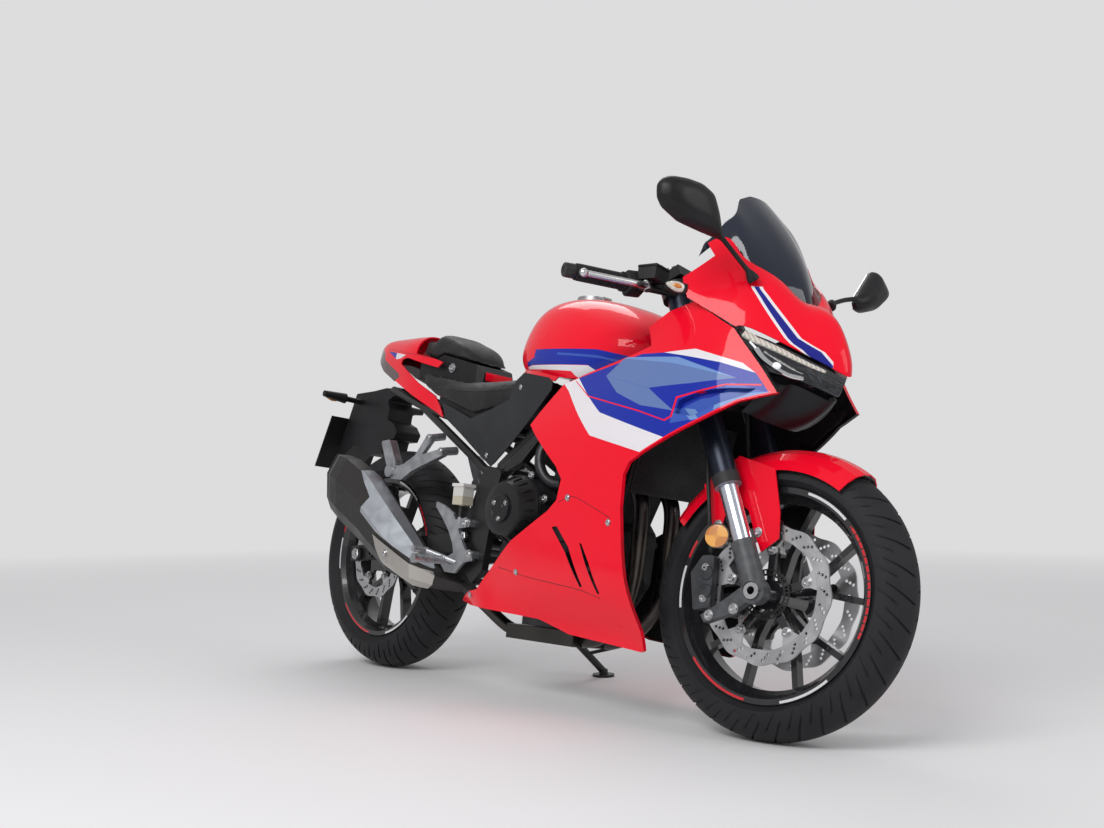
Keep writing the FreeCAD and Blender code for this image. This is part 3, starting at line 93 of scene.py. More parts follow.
# The studio: a pale floor that runs into a backdrop of the same tone, and soft lamps.
# The floor is the first thing with a material, so the small kit for node sums is here.
class Wire:
    """One socket of a material; arithmetic on it adds Math nodes."""

    def __init__(self, tree, socket):
        self.tree = tree
        self.socket = socket

    def math(self, operation, a, b=0.0):
        return node(self.tree, "ShaderNodeMath", {"operation": operation}, {0: a, 1: b})

    def __add__(self, other):
        return self.math("ADD", self, other)

    def __radd__(self, other):
        return self.math("ADD", other, self)

    def __sub__(self, other):
        return self.math("SUBTRACT", self, other)

    def __rsub__(self, other):
        return self.math("SUBTRACT", other, self)

    def __mul__(self, other):
        return self.math("MULTIPLY", self, other)

    def __rmul__(self, other):
        return self.math("MULTIPLY", other, self)

    def __pow__(self, other):
        return self.math("POWER", self, other)

    def most(self, other):
        return self.math("MAXIMUM", self, other)

    def size(self):
        return self.math("ABSOLUTE", self)

    def sine(self):
        return self.math("SINE", self)

    def root(self):
        return self.math("SQRT", self)

    def step(self, low, high, start=0.0, end=1.0):
        return node(self.tree, "ShaderNodeMapRange", {"clamp": True},
                    {0: self, 1: low, 2: high, 3: start, 4: end})


def node(tree, kind, settings, sockets, out=0):
    made = tree.nodes.new(kind)
    for name, value in settings.items():
        if name == "stops":
            ramp = made.color_ramp
            while len(ramp.elements) < len(value):
                ramp.elements.new(0.5)
            for element, (place, colour) in zip(ramp.elements, value):
                element.position = place
                element.color = (*colour, 1.0)
        else:
            setattr(made, name, value)
    for name, value in sockets.items():
        if isinstance(value, Wire):
            tree.links.new(value.socket, made.inputs[name])
        else:
            made.inputs[name].default_value = value
    return Wire(tree, made.outputs[out])


def between(mask, first, second):
    colours = [c if isinstance(c, Wire) else (*c, 1.0) for c in (first, second)]
    return node(mask.tree, "ShaderNodeMix", {"data_type": "RGBA"}, {0: mask, 6: colours[0], 7: colours[1]}, 2)


class Finish:
    """A material with one Principled shader."""

    def __init__(self, name, colour, rough, metal=0.0, **more):
        self.material = bpy.data.materials.new(name)
        self.material.use_nodes = True
        self.tree = self.material.node_tree
        self.shader = self.tree.nodes["Principled BSDF"]
        self.colour = colour
        self.shader.inputs["Base Color"].default_value = (*colour, 1.0)
        self.shader.inputs["Roughness"].default_value = rough
        self.shader.inputs["Metallic"].default_value = metal
        for key, value in more.items():
            title = {"ior": "IOR", "coat_ior": "Coat IOR", "specular_ior_level": "Specular IOR Level"}
            self.shader.inputs[title.get(key, key.replace("_", " ").title())].default_value = value

    def feed(self, socket, wire):
        self.tree.links.new(wire.socket, self.shader.inputs[socket])

    def place(self, matrix=None):
        # Object coordinates, or those of the upright machine or front end
        spot = node(self.tree, "ShaderNodeTexCoord", {}, {}, 3)
        if matrix is None:
            return spot
        back = matrix.inverted()
        return node(self.tree, "ShaderNodeMapping", {"vector_type": "POINT"},
                    {0: spot, 1: tuple(back.to_translation()), 2: tuple(back.to_euler())})

    def noise(self, scale, detail=2.0, spot=None, out=0):
        return node(self.tree, "ShaderNodeTexNoise", {},
                    {"Vector": spot or self.place(), "Scale": scale, "Detail": detail}, out)

    def mottled(self, scale, low, high, first, second, detail=2.0):
        # Two tones mixed by a cloudy noise
        return between(self.noise(scale, detail).step(low, high), first, second)

    def worn(self, scale, low, high, detail=2.0, start=0.3):
        # A roughness that varies with handling and weather
        self.feed("Roughness", self.noise(scale, detail).step(start, 0.7, low, high))

    def grain(self, scale, strength, distance, detail=2.0):
        self.bump(self.noise(scale, detail), strength, distance)

    def split(self, spot):
        parts = node(self.tree, "ShaderNodeSeparateXYZ", {}, {0: spot})
        made = parts.socket.node
        return [Wire(self.tree, made.outputs[i]) for i in range(3)]

    def stretched(self, matrix, scale):
        # Coordinates drawn out along some of the upright axes, for brushed or turned metal
        return node(self.tree, "ShaderNodeVectorMath", {"operation": "MULTIPLY"},
                    {0: self.place(matrix), 1: scale})

    def bump(self, height, strength, distance):
        self.feed("Normal", node(self.tree, "ShaderNodeBump", {},
                                 {"Strength": strength, "Distance": distance, "Height": height}))

    def emit(self, colour, strength):
        self.shader.inputs["Emission Color"].default_value = (*colour, 1.0)
        self.shader.inputs["Emission Strength"].default_value = strength


floor_tone = (0.80, 0.80, 0.81)
air_level = 0.72
bpy.ops.object.select_all(action="DESELECT")
bpy.ops.mesh.primitive_plane_add(size=160.0)
floor = bpy.context.object
floor.name = "studio_floor"
pale = Finish("studio_pale", floor_tone, 0.9)
floor.data.materials.append(pale.material)
floor_out = pale.tree.nodes["Material Output"]
floor_x, floor_y, _ = pale.split(pale.place())
far = (floor_x * floor_x + floor_y * floor_y).root().step(1.8, 6.5)
looked_at = node(pale.tree, "ShaderNodeLightPath", {}, {}, "Is Camera Ray")
glow = pale.tree.nodes.new("ShaderNodeEmission")
glow.inputs["Color"].default_value = (*floor_tone, 1.0)
glow.inputs["Strength"].default_value = air_level / 0.8
blend = pale.tree.nodes.new("ShaderNodeMixShader")
pale.tree.links.new((far * looked_at).socket, blend.inputs[0])
pale.tree.links.new(pale.shader.outputs[0], blend.inputs[1])
pale.tree.links.new(glow.outputs[0], blend.inputs[2])
pale.tree.links.new(blend.outputs[0], floor_out.inputs[0])

world = bpy.data.worlds.new("studio_air")
bpy.context.scene.world = world
world.use_nodes = True
air = world.node_tree
path = air.nodes.new("ShaderNodeLightPath")
seen = Wire(air, path.outputs["Is Camera Ray"]).most(Wire(air, path.outputs["Is Transmission Ray"]))
glossy = Wire(air, path.outputs["Is Glossy Ray"])
ambient = 0.44
sky = air.nodes["Background"]
air.links.new((seen * (air_level - ambient) + glossy * 0.04 + ambient).socket, sky.inputs["Strength"])
sky.inputs["Color"].default_value = (*[c / 0.8 for c in floor_tone], 1.0)


def softbox(name, where, aim, size, power):
    light = bpy.data.lights.new(name, "AREA")
    light.shape = "RECTANGLE"
    light.size = size[0]
    light.size_y = size[1]
    light.energy = power
    lamp = bpy.data.objects.new(name, light)
    lamp.location = where
    lamp.rotation_euler = (Vector(aim) - Vector(where)).to_track_quat("-Z", "Y").to_euler()
    bpy.context.scene.collection.objects.link(lamp)


softbox("key_light", (1.2, -3.6, 3.4), (0.0, 0.0, 0.5), (2.6, 1.8), 112.0)
softbox("front_light", (4.2, 0.8, 2.6), (0.3, 0.0, 0.5), (1.8, 2.2), 34.0)
softbox("back_light", (-2.6, 1.6, 4.2), (-0.2, 0.0, 0.6), (2.4, 1.8), 44.0)

# Fairings: injection-moulded panels in red with a coloured band under a clear coat. The band
# runs from the tank's side across the fairing to the headlamp, its facets laid one over the
# other as bent lines in millimetres of length and height. The inner faces stay black.
def dress(names, finish):
    for name in names:
        cad = nodes[name]
        cad.data.materials.clear()
        cad.data.materials.append(finish.material)


def line(across, points):
    # A bent line over the machine's length: its height at each place
    height = points[0][1] * 0.001
    for (x0, z0), (x1, z1) in zip(points, points[1:]):
        height = across.step(x0 * 0.001, x1 * 0.001, 0.0, (z1 - z0) * 0.001) + height
    return height


def field(x, z, low, high, soft=0.0006):
    # Between two bent lines that share their ends
    mask = (z - line(x, low)).step(0.0, soft) * (line(x, high) - z).step(0.0, soft)
    if low[0][1] != high[0][1]:
        mask = mask * (x - low[0][0] * 0.001).step(0.0, soft)
    if low[-1][1] != high[-1][1]:
        mask = mask * (low[-1][0] * 0.001 - x).step(0.0, soft)
    return mask


def painted(name, matrix):
    # Red under a clear coat with faint orange peel, and its coordinates in an upright frame
    paint = Finish(name, red, 0.32, **gloss)
    paint.grain(260.0, 0.035, 0.002)
    paint.worn(7.0, 0.26, 0.36, 3.0, start=0.35)
    return paint, *paint.split(paint.place(matrix))


red = (0.90, 0.003, 0.022)
bright_white = (0.80, 0.77, 0.80)
deep_blue = (0.010, 0.028, 0.36)
mid_blue = (0.045, 0.105, 0.46)
slate_blue = (0.125, 0.200, 0.44)
# A paler blue painted where facets of the band catch the light: a painted highlight
highlight_blue = (0.170, 0.300, 0.60)
black_inside = (0.018, 0.018, 0.020)
gloss = {"coat_weight": 0.80, "coat_roughness": 0.03, "coat_ior": 1.35, "specular_ior_level": 0.05}

panel_paint, px, py, pz = painted("fairing_paint", leaning)
band_low = [(153, 745), (183, 725), (308, 615), (476, 575), (745, 575)]
coloured = field(px, pz, band_low, [(153, 745), (204, 756), (411, 796), (481, 793), (573, 795), (680, 764),
                                    (709, 743), (745, 700)])
band = between(coloured, red, mid_blue)
for low, high in ((band_low,
                   [(153, 745), (290, 770), (367, 710), (456, 677), (549, 663), (614, 670), (745, 690)]),
                  ([(204, 756), (306, 753), (440, 768), (560, 755), (745, 700)],
                   [(204, 756), (411, 800), (530, 796), (640, 766), (745, 740)])):
    band = between(coloured * field(px, pz, low, high), band, deep_blue)
joint_low = [(196, 748), (267, 706), (450, 664), (531, 641), (548, 650), (553, 689), (654, 716), (725, 717)]
joint_high = [(196, 751), (267, 709.5), (450, 667.5), (528, 645), (543, 652), (549, 693), (654, 720),
              (725, 721)]
lip_low = [(442, 553), (477, 572), (613, 641), (685, 681), (760, 702)]
lip_high = [(442, 560), (477, 579), (613, 648), (685, 688), (760, 709)]
# The band's facets in turn; the palest blue ones are painted highlights where the facets catch the light
for low, high, colour in (
        ([(306, 753), (367, 710), (456, 677), (549, 663)], [(306, 753), (467, 715), (549, 663)], slate_blue),
        ([(306, 753), (467, 715), (575, 721), (676, 732)], [(306, 753), (350, 790), (540, 768), (676, 732)],
         slate_blue),
        ([(350, 790), (518, 767), (676, 732)], [(350, 790), (362, 793), (530, 780), (676, 732)], highlight_blue),
        ([(467, 715), (549, 663), (640, 700), (676, 732)], [(467, 715), (575, 721), (676, 732)], deep_blue),
        ([(545, 636), (610, 646), (679, 683), (745, 700)], [(545, 664), (600, 690), (700, 704), (745, 700)],
         mid_blue),
        ([(564, 670), (594, 642), (612, 646)], [(564, 670), (590, 668), (612, 646)], highlight_blue),
        ([(640, 664), (679, 683), (745, 700)], [(640, 676), (690, 700), (745, 706)], highlight_blue),
        ([(481, 793), (543, 782), (637, 764), (709, 743)], [(481, 793), (573, 795), (680, 764), (709, 743)],
         bright_white),
        ([(153, 745), (183, 725), (308, 615), (476, 575), (535, 607)],
         [(153, 745), (204, 756), (267, 708), (327, 667), (535, 607)], bright_white),
        (joint_low, joint_high, red), (lip_low, lip_high, red)):
    band = between(field(px, pz, low, high), band, colour)
outward = panel_paint.split(node(panel_paint.tree, "ShaderNodeTexCoord", {}, {}, 1))[1]
facing = (outward * py * 100.0).step(-0.9, -0.2)
panel_paint.feed("Base Color", between(facing, black_inside, band))
panel_paint.feed("Coat Weight", facing * gloss["coat_weight"])
dress(["fairing_left", "fairing_right"], panel_paint)

# Tank: pressed and welded steel, painted red. The fairing's band ends on its flank, with a
# white line under it along the seam flange.
tank_paint, tx, _, tz = painted("tank_paint", leaning)
tank_band = field(tx, tz, [(-60, 809), (-30, 809), (131, 796), (199, 791), (226, 773), (400, 745)],
                  [(-60, 818), (-13, 826), (-5, 844), (228, 826), (360, 798), (400, 790)])
tank_red = between(tank_band, red, deep_blue)
tank_red = between(field(tx, tz, [(90, 822), (228, 806), (300, 792)], [(90, 828), (228, 812), (300, 797)]),
                   tank_red, mid_blue)
tank_line = field(tx, tz, [(-60, 803), (140, 781), (153, 770), (182, 755), (240, 757)],
                  [(-60, 808), (-30, 809), (131, 796), (199, 791), (240, 768)])
tank_red = between(tank_line, tank_red, bright_white)
tank_paint.feed("Base Color", tank_red)
dress(["fuel_tank"], tank_paint)

# Upper cowl: the same moulded plastic in red, bolted round the lamps. A blue stripe edged in
# white runs down each cheek and widens at the nose; its two lines are given by height.
cowl_paint, cx, cy, cz = painted("cowl_paint", leaning)
stripe_out = [(700, 800), (782, 776), (800, 760), (812, 744), (823, 734), (909, 673), (926, 660), (960, 640)]
stripe_in = [(700, 860), (782, 800), (800, 786), (812, 767), (825, 748), (908, 683), (926, 668), (960, 650)]


def beside(height, across, points):
    # Distance in front of a bent line that is given by height
    place = points[0][1] * 0.001
    for (z0, x0), (z1, x1) in zip(points, points[1:]):
        place = height.step(z0 * 0.001, z1 * 0.001, 0.0, (x1 - x0) * 0.001) + place
    return across - place


off_out = beside(cz, cx, stripe_out)
off_in = beside(cz, cx, stripe_in)
edged = off_out.step(-0.0050, -0.0044) * off_in.step(0.0046, 0.0052, 1.0, 0.0)
filled = off_out.step(0.0, 0.0006) * off_in.step(-0.0006, 0.0, 1.0, 0.0)
cheek = cy.size().step(0.030, 0.031) * cz.step(0.930, 0.931, 1.0, 0.0)
cowl_red = between(edged * cheek, red, bright_white)
cowl_red = between(filled * cheek, cowl_red, (0.016, 0.020, 0.24))
under = cowl_paint.split(node(cowl_paint.tree, "ShaderNodeTexCoord", {}, {}, 1))[0]
cowl_paint.feed("Base Color", between((under + under).step(-1.7, -1.3), black_inside, cowl_red))
dress(["upper_cowl"], cowl_paint)

# Tail cowl: two red mouldings that meet in a dark joint under the deck, with a short blue
# and white flash at the rear end.
tail_paint, ux, _, uz = painted("tail_paint", leaning)
flash_low = [(-758, 904), (-747, 899), (-693, 875), (-667, 875), (-635, 882)]
flash_high = [(-758, 906), (-747, 904), (-651, 886), (-640, 884), (-635, 882)]
flash = field(ux, uz, flash_low, flash_high, 0.0004)
fade = ux.step(-0.700, -0.699)
seam = field(ux, uz, [(-765, 912.4), (-695, 899.4), (-585, 878.4), (-488, 860.4)],
             [(-765, 914), (-695, 901), (-585, 880), (-488, 862)], 0.0004)
tail_red = between(flash, red, between(fade, deep_blue, bright_white))
tail_paint.feed("Base Color", between(seam * 0.8, tail_red, black_inside))
dress(["tail_cowl"], tail_paint)

# Front mudguard: a thin red moulding, bolted to the fork legs and unpainted inside, where
# its faces turn towards the hub.
guard_paint, *guard_spot = painted("mudguard_paint", None)
hub_place = steered @ front_hub
guard_faces = guard_paint.split(node(guard_paint.tree, "ShaderNodeTexCoord", {}, {}, 1))
outward = [(spot - hub_place[k]) * way for k, (spot, way) in enumerate(zip(guard_spot, guard_faces))]
outward = outward[0] + outward[1] + outward[2]
guard_paint.feed("Base Color", between(outward.step(-0.030, -0.015), black_inside, red))
dress(["front_mudguard"], guard_paint)

# Tyres: black rubber, a round tread with slanted curved grooves that lean the other way on
# each side, and fine moulded rings on the side walls. One pitch is drawn and set round.
def inked(name, points, faces, finish, body):
    # One finished mesh from its points and faces, riding on a body
    mesh = bpy.data.meshes.new(name)
    mesh.from_pydata([tuple(p) for p in points], [], faces)
    mesh.validate()
    grown = bmesh.new()
    grown.from_mesh(mesh)
    bmesh.ops.remove_doubles(grown, verts=grown.verts, dist=0.00002)
    bmesh.ops.recalc_face_normals(grown, faces=grown.faces)
    grown.to_mesh(mesh)
    grown.free()
    piece = bpy.data.objects.new(name, mesh)
    bpy.context.scene.collection.objects.link(piece)
    mesh.materials.append(finish.material)
    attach(piece, body)
    return piece


def pick(piece):
    bpy.ops.object.select_all(action="DESELECT")
    piece.select_set(True)
    bpy.context.view_layer.objects.active = piece


def rounded(piece, angle=35.0):
    pick(piece)
    bpy.ops.object.shade_smooth_by_angle(angle=math.radians(angle))


tyre_rubber = Finish("tyre_rubber", (0.020, 0.020, 0.022), 0.72, specular_ior_level=0.3)
tyre_dust = tyre_rubber.noise(14.0, 4.0).step(0.4, 0.75)
tyre_rubber.feed("Base Color", between(tyre_dust * 0.6, (0.012, 0.012, 0.014), (0.026, 0.026, 0.028)))
tyre_rubber.feed("Roughness", tyre_dust * 0.12 + 0.62)
tyre_rubber.grain(420.0, 0.18, 0.0006, 3.0)


bead_radius, rim_seat_radius = 227.2, 216.2
groove_depth = 4.2
tread_pitches = 34
side_wall = ((0.18, 0.0), (0.22, 0.5), (0.30, 0.5), (0.34, 0.0), (0.62, 0.0), (0.66, 0.6), (0.72, 0.6),
             (0.76, 0.0))


def tyre_rows(radius, width, crown, half_rim):
    # Across the tyre: side wall rings, crown, side wall and the bead, as (y, r, share, ring)
    wide = math.acos(min(1.0, width / 2 / crown))
    rows = []
    for k in range(-22, 23):
        share = k / 22
        a = share * (math.pi / 2 - wide)
        rows.append((crown * math.sin(a), radius - crown + crown * math.cos(a), share))
    shoulder_y, shoulder_r = rows[-1][:2]
    wall = [(shoulder_y + (half_rim - shoulder_y) * share + lift * 0.7,
             shoulder_r + (bead_radius - shoulder_r) * share + lift * 0.4, 2.0) for share, lift in side_wall]
    closing = [(half_rim, bead_radius, 2.0), (half_rim, rim_seat_radius, 2.0),
               (half_rim - 8, rim_seat_radius, 2.0), (half_rim - 8, bead_radius, 2.0)]
    right = wall + closing
    left = [(-y, r, share) for y, r, share in right[::-1]]
    thin = 1 - 9.0 / crown
    roof = [(y * thin, radius - crown + (r - radius + crown) * thin, 2.0) for y, r, share in rows[::11][::-1]]
    return left + rows + right + roof


def grooved(name, frame_matrix, axle, radius, width, crown, half_rim, body):
    # Columns lean back towards the shoulders, so the grooves between them keep crisp edges
    rows = tyre_rows(radius, width, crown, half_rim)
    pitch = 2 * math.pi / tread_pitches
    edge, groove = 0.9 / radius, 6.2 / radius
    columns = []
    for start, side in ((0.10, 0), (0.60, 1)):
        first = start * pitch
        columns += [(first, None), (first + edge, side), (first + groove - edge, side),
                    (first + groove, None), (first + 0.24 * pitch, None)]
    points = []
    for turn in range(tread_pitches):
        for angle, side in columns:
            for y, r, share in rows:
                lean_back = 1.15 * pitch * min(1.0, abs(share)) ** 1.35
                depth = 0.0
                if side is not None and share <= 1.0:
                    long_side = (share > 0) == (side == 1)
                    span = abs(share)
                    if long_side and 0.07 < span < 0.74 or not long_side and 0.52 < span < 0.92:
                        depth = groove_depth
                a = turn * pitch + angle + lean_back
                cut = r - depth
                points.append(frame_matrix @ (axle + Vector((cut * math.cos(a), y,
                                                             cut * math.sin(a))) * 0.001))
    count = len(rows)
    total = tread_pitches * len(columns)
    faces = []
    for c in range(total):
        for k in range(count):
            a, b = c * count, (c + 1) % total * count
            faces.append((a + k, b + k, b + (k + 1) % count, a + (k + 1) % count))
    piece = inked(name, points, faces, tyre_rubber, body)
    rounded(piece, 32.0)
    return piece


for end, matrix, hub, radius, width, crown, half_rim in (
        ("front", steered, front_hub, 299.9, 120.0, 60.0, 44.2),
        ("rear", leaning, rear_hub, 311.9, 160.0, 82.0, 56.7)):
    tread = grooved(end + "_tyre_tread", matrix, hub, radius, width, crown, half_rim, end + "_wheel_assembly")
    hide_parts(end + "_tyre")


# Wheels: cast alloy in gloss black. A printed pinstripe runs in arcs round the rim's edge,
# red and white in turn, with the right side's red arc broken into dashes.
for end, hub, matrix in (("front", front_hub, steered), ("rear", rear_hub, leaning)):
    wheel = Finish(end + "_wheel_enamel", (0.012, 0.012, 0.014), 0.24, coat_weight=0.6, coat_roughness=0.06)
    wx, _, wz = wheel.split(wheel.place(matrix))
    ux, uz = wx - hub.x, wz - hub.z
    out_r = (ux * ux + uz * uz).root()
    angle = uz.math("ARCTAN2", uz, ux) * (180 / math.pi)
    ring_mask = out_r.step(0.2190, 0.2192) * out_r.step(0.2243, 0.2245, 1.0, 0.0)
    red_arc = angle.step(-138.2, -138.0) * angle.step(-97.2, -97.0, 1.0, 0.0)
    red_arc = red_arc.most(angle.step(152.8, 153.0) * angle.step(163.0, 163.2, 1.0, 0.0))
    dashes = (angle * 1.45).sine().step(-0.86, -0.84)
    red_arc = red_arc.most(angle.step(-18.2, -18.0) * angle.step(43.0, 43.2, 1.0, 0.0) * dashes)
    white_arc = angle.step(47.8, 48.0) * angle.step(75.0, 75.2, 1.0, 0.0)
    white_arc = white_arc.most(angle.step(-75.2, -75.0) * angle.step(-45.2, -45.0, 1.0, 0.0))
    white_arc = white_arc.most(angle.size().step(168.0, 168.2))
    body_tone = wheel.mottled(30.0, 0.4, 0.7, (0.011, 0.011, 0.013), (0.018, 0.018, 0.020))
    tone = between(ring_mask * red_arc, body_tone, (0.62, 0.006, 0.016))
    wheel.feed("Base Color", between(ring_mask * white_arc, tone, (0.72, 0.72, 0.73)))
    wheel.worn(9.0, 0.20, 0.34, 3.0, start=0.35)
    wheel.grain(700.0, 0.03, 0.001)
    dress([end + "_wheel"], wheel)


# Brake discs: stainless steel, ground in circles on the faces that the pads sweep, darker
# and matt at the carrier ears. Bolts with round heads hold the ears to the wheels.
def turned_metal(name, hub, matrix, colour, low, high):
    metal = Finish(name, colour, 0.3, 1.0)
    mx, my, mz = metal.split(metal.place(matrix))
    dx, dz = mx - hub.x, mz - hub.z
    radius = (dx * dx + dz * dz).root()
    rings = node(metal.tree, "ShaderNodeCombineXYZ", {}, {0: radius * 2600.0, 1: my * 40.0})
    fine = metal.noise(1.0, 3.0, rings)
    metal.feed("Roughness", fine.step(0.3, 0.7, low, high))
    metal.bump(fine, 0.10, 0.0006)
    return metal, radius


for end, hub, matrix, names, swept in (
        ("front", front_hub, steered, ["front_disc_left", "front_disc_right"], 0.112),
        ("rear", rear_hub, leaning, ["rear_disc"], 0.086)):
    ground_steel, radius = turned_metal(end + "_disc_steel", hub, matrix, (0.50, 0.50, 0.51), 0.26, 0.42)
    worn = radius.step(swept, swept + 0.004)
    ground_steel.feed("Base Color", between(worn, (0.62, 0.62, 0.63), between(
        ground_steel.noise(24.0).step(0.4, 0.7), (0.46, 0.46, 0.47), (0.60, 0.60, 0.61))))
    dress(names, ground_steel)

# Fasteners: zinc-plated steel bolts with flanged heads and a hexagon socket. One is modelled
# of each kind and set wherever a bolt shows: discs, fairings, engine covers, hangers.
bolt_steel = Finish("bolt_steel", (0.55, 0.55, 0.56), 0.30, 1.0)
bolt_steel.feed("Base Color",
                bolt_steel.mottled(160.0, 0.35, 0.7, (0.40, 0.40, 0.41), (0.66, 0.66, 0.67), 3.0))
bolt_steel.worn(90.0, 0.22, 0.42)
patterns = []


def socket_head(radius, height, socket, flange=1.35):
    # Along +z from zero: flange, domed head, hexagon socket
    bpy.ops.object.select_all(action="DESELECT")
    bpy.ops.mesh.primitive_cylinder_add(vertices=18, radius=radius * flange, depth=height * 0.3,
                                        location=(0, 0, height * 0.15), end_fill_type="NGON")
    piece = bpy.context.object
    bpy.ops.object.transform_apply(location=True)
    bpy.ops.object.mode_set(mode="EDIT")
    bpy.ops.mesh.select_all(action="DESELECT")
    bpy.ops.mesh.select_mode(type="FACE")
    grown = bmesh.from_edit_mesh(piece.data)
    top = max(grown.faces, key=lambda f: f.calc_center_median().z)
    top.select = True
    grown.faces.active = top
    bmesh.update_edit_mesh(piece.data)
    bpy.ops.mesh.inset(thickness=radius * (flange - 1.0))
    bpy.ops.mesh.extrude_region_move(TRANSFORM_OT_translate={"value": (0, 0, height * 0.5)})
    bpy.ops.mesh.inset(thickness=radius * 0.14, depth=height * 0.2)
    bpy.ops.mesh.inset(thickness=radius * 0.86 - socket)
    bpy.ops.mesh.extrude_region_move(TRANSFORM_OT_translate={"value": (0, 0, -height * 0.5)})
    bpy.ops.object.mode_set(mode="OBJECT")
    patterns.append(piece)
    return piece


def planted(name, pattern, places, body, finish, angle=35.0):
    # Copies of a modelled piece, each with its own mesh, joined at their places
    grown = bmesh.new()
    for place in places:
        copy = pattern.data.copy()
        copy.transform(place)
        grown.from_mesh(copy)
        bpy.data.meshes.remove(copy)
    bmesh.ops.recalc_face_normals(grown, faces=grown.faces)
    mesh = bpy.data.meshes.new(name)
    grown.to_mesh(mesh)
    grown.free()
    piece = bpy.data.objects.new(name, mesh)
    bpy.context.scene.collection.objects.link(piece)
    mesh.materials.append(finish.material)
    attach(piece, body)
    rounded(piece, angle)
    return piece


def facing_way(matrix, spot, way, size=1.0):
    # A place in the upright frame in millimetres, with the pattern's z along `way`
    turn = Vector(way).to_track_quat("Z", "Y").to_matrix().to_4x4()
    return matrix @ Matrix.Translation(Vector(spot) * 0.001) @ turn @ Matrix.Scale(size, 4)


def around(x, z, radius, angles, y):
    # Places round a circle about a line across the machine
    turns = [math.radians(a) for a in angles]
    return [(x + radius * math.cos(a), y, z + radius * math.sin(a)) for a in turns]


disc_bolt = socket_head(0.0075, 0.007, 0.004)
five = [20 + 72 * k for k in range(5)]
for name, matrix, hub, radius, y, way, body in (
        ("front_disc_bolts_right", steered, front_hub, 94, -60.8, (0, -1, 0), "front_wheel_assembly"),
        ("front_disc_bolts_left", steered, front_hub, 94, 60.8, (0, 1, 0), "front_wheel_assembly"),
        ("rear_disc_bolts", leaning, rear_hub, 70, -74.8, (0, -1, 0), "rear_wheel_assembly")):
    spots = [facing_way(matrix, p, way) for p in around(hub.x * 1000, hub.z * 1000, radius, five, y)]
    planted(name, disc_bolt, spots, body, bolt_steel)

panel_bolt = socket_head(0.0062, 0.0035, 0.003, 1.25)
cover_bolt = socket_head(0.0085, 0.0065, 0.0042)


def side_spot(name, x, z, side, lift=0.4):
    # Where a line across the machine meets a CAD piece, and the way its surface faces
    cad = nodes[name]
    back = leaning.inverted()
    start = leaning @ Vector((x * 0.001, side * 0.45, z * 0.001))
    way = (leaning.to_3x3() @ Vector((0, -side, 0))).normalized()
    hit, spot, normal, face = cad.ray_cast(start, way)
    if not hit:
        return None
    local = back @ spot * 1000
    out = back.to_3x3() @ normal
    return tuple(local + out * lift), tuple(out)


both_sides = ((-1, "right"), (1, "left"))
fairing_bolts = [(249, 477), (389, 425), (51, 301), (-167, 235)]
for side, end in both_sides:
    found = [side_spot("fairing_" + end, x, z, side) for x, z in fairing_bolts]
    spots = [facing_way(leaning, *f) for f in found if f]
    planted("fairing_bolts_" + end, panel_bolt, spots, "chassis", bolt_steel)
    found = [side_spot("side_cover_" + end, x, z, side) for x, z in ((-182, 590), (-40, 752))]
    planted("side_cover_bolts_" + end, panel_bolt, [facing_way(leaning, *f, 0.9) for f in found if f],
            "chassis", bolt_steel)

# Forks: cast feet painted dark grey, hard-chromed stanchions, and dark blue-black anodised
# outer tubes with a black dust seal and a satin cap.
fork_metal = Finish("fork_metal", (0.03, 0.03, 0.032), 0.3)
fx, _, fz = fork_metal.split(fork_metal.place(steered))
along = (fx - front_hub.x) * -math.sin(rake) + (fz - front_hub.z) * math.cos(rake)
lead = (fx - front_hub.x) * math.cos(rake) + (fz - front_hub.z) * math.sin(rake)
chrome = along.step(0.1098, 0.1101) * along.step(0.2358, 0.2361, 1.0, 0.0)
outer = along.step(0.2362, 0.2365)
cap = along.step(0.7560, 0.7564)
cast = fork_metal.mottled(60.0, 0.35, 0.7, (0.050, 0.052, 0.058), (0.085, 0.088, 0.095), 3.0)
tube_tone = fork_metal.mottled(16.0, 0.4, 0.7, (0.012, 0.016, 0.030), (0.020, 0.026, 0.045))
seal = outer * along.step(0.2618, 0.2621, 1.0, 0.0)
tone = between(chrome, cast, (0.66, 0.70, 0.78))
tone = between(outer, tone, tube_tone)
tone = between(seal, tone, (0.016, 0.016, 0.018))
fork_metal.feed("Base Color", between(cap, tone, (0.30, 0.30, 0.31)))
fork_metal.feed("Metallic", chrome * 0.97 + outer * 0.55 * (1.0 - seal) + cap * 0.3)
fork_metal.feed("Roughness", chrome * -0.26 + outer * -0.14 + seal * 0.30 + 0.46)
fork_metal.bump(fork_metal.noise(900.0, 2.0) * (1.0 - chrome), 0.10, 0.0005)
dress(["fork_left", "fork_right"], fork_metal)

# Front spindle: a hollow bar of bright steel, turned on a lathe, so that its fine marks run
# round it. It is clamped in the fork's feet.
axle_steel = Finish("axle_steel", (0.60, 0.60, 0.61), 0.25, 1.0)
axle_steel.bump(axle_steel.noise(1.0, 2.0, axle_steel.stretched(steered, (900.0, 60.0, 900.0))), 0.08, 0.0005)
axle_steel.worn(80.0, 0.18, 0.36)
dress(["front_axle"], axle_steel)


# Black frame parts: welded steel under satin black powder coat, with a fine orange peel and
# lighter rubbed patches. The side stand, swingarm and yokes share the finish.
def coated(name, dark, pale_tone, low, high, grain=600.0, metal=0.0, patches=11.0):
    coat = Finish(name, dark, low, metal)
    coat.feed("Base Color", coat.mottled(patches, 0.38, 0.72, dark, pale_tone, 4.0))
    coat.worn(patches * 1.7, low, high, 3.0, start=0.35)
    coat.grain(grain, 0.10, 0.0006, 2.0)
    return coat


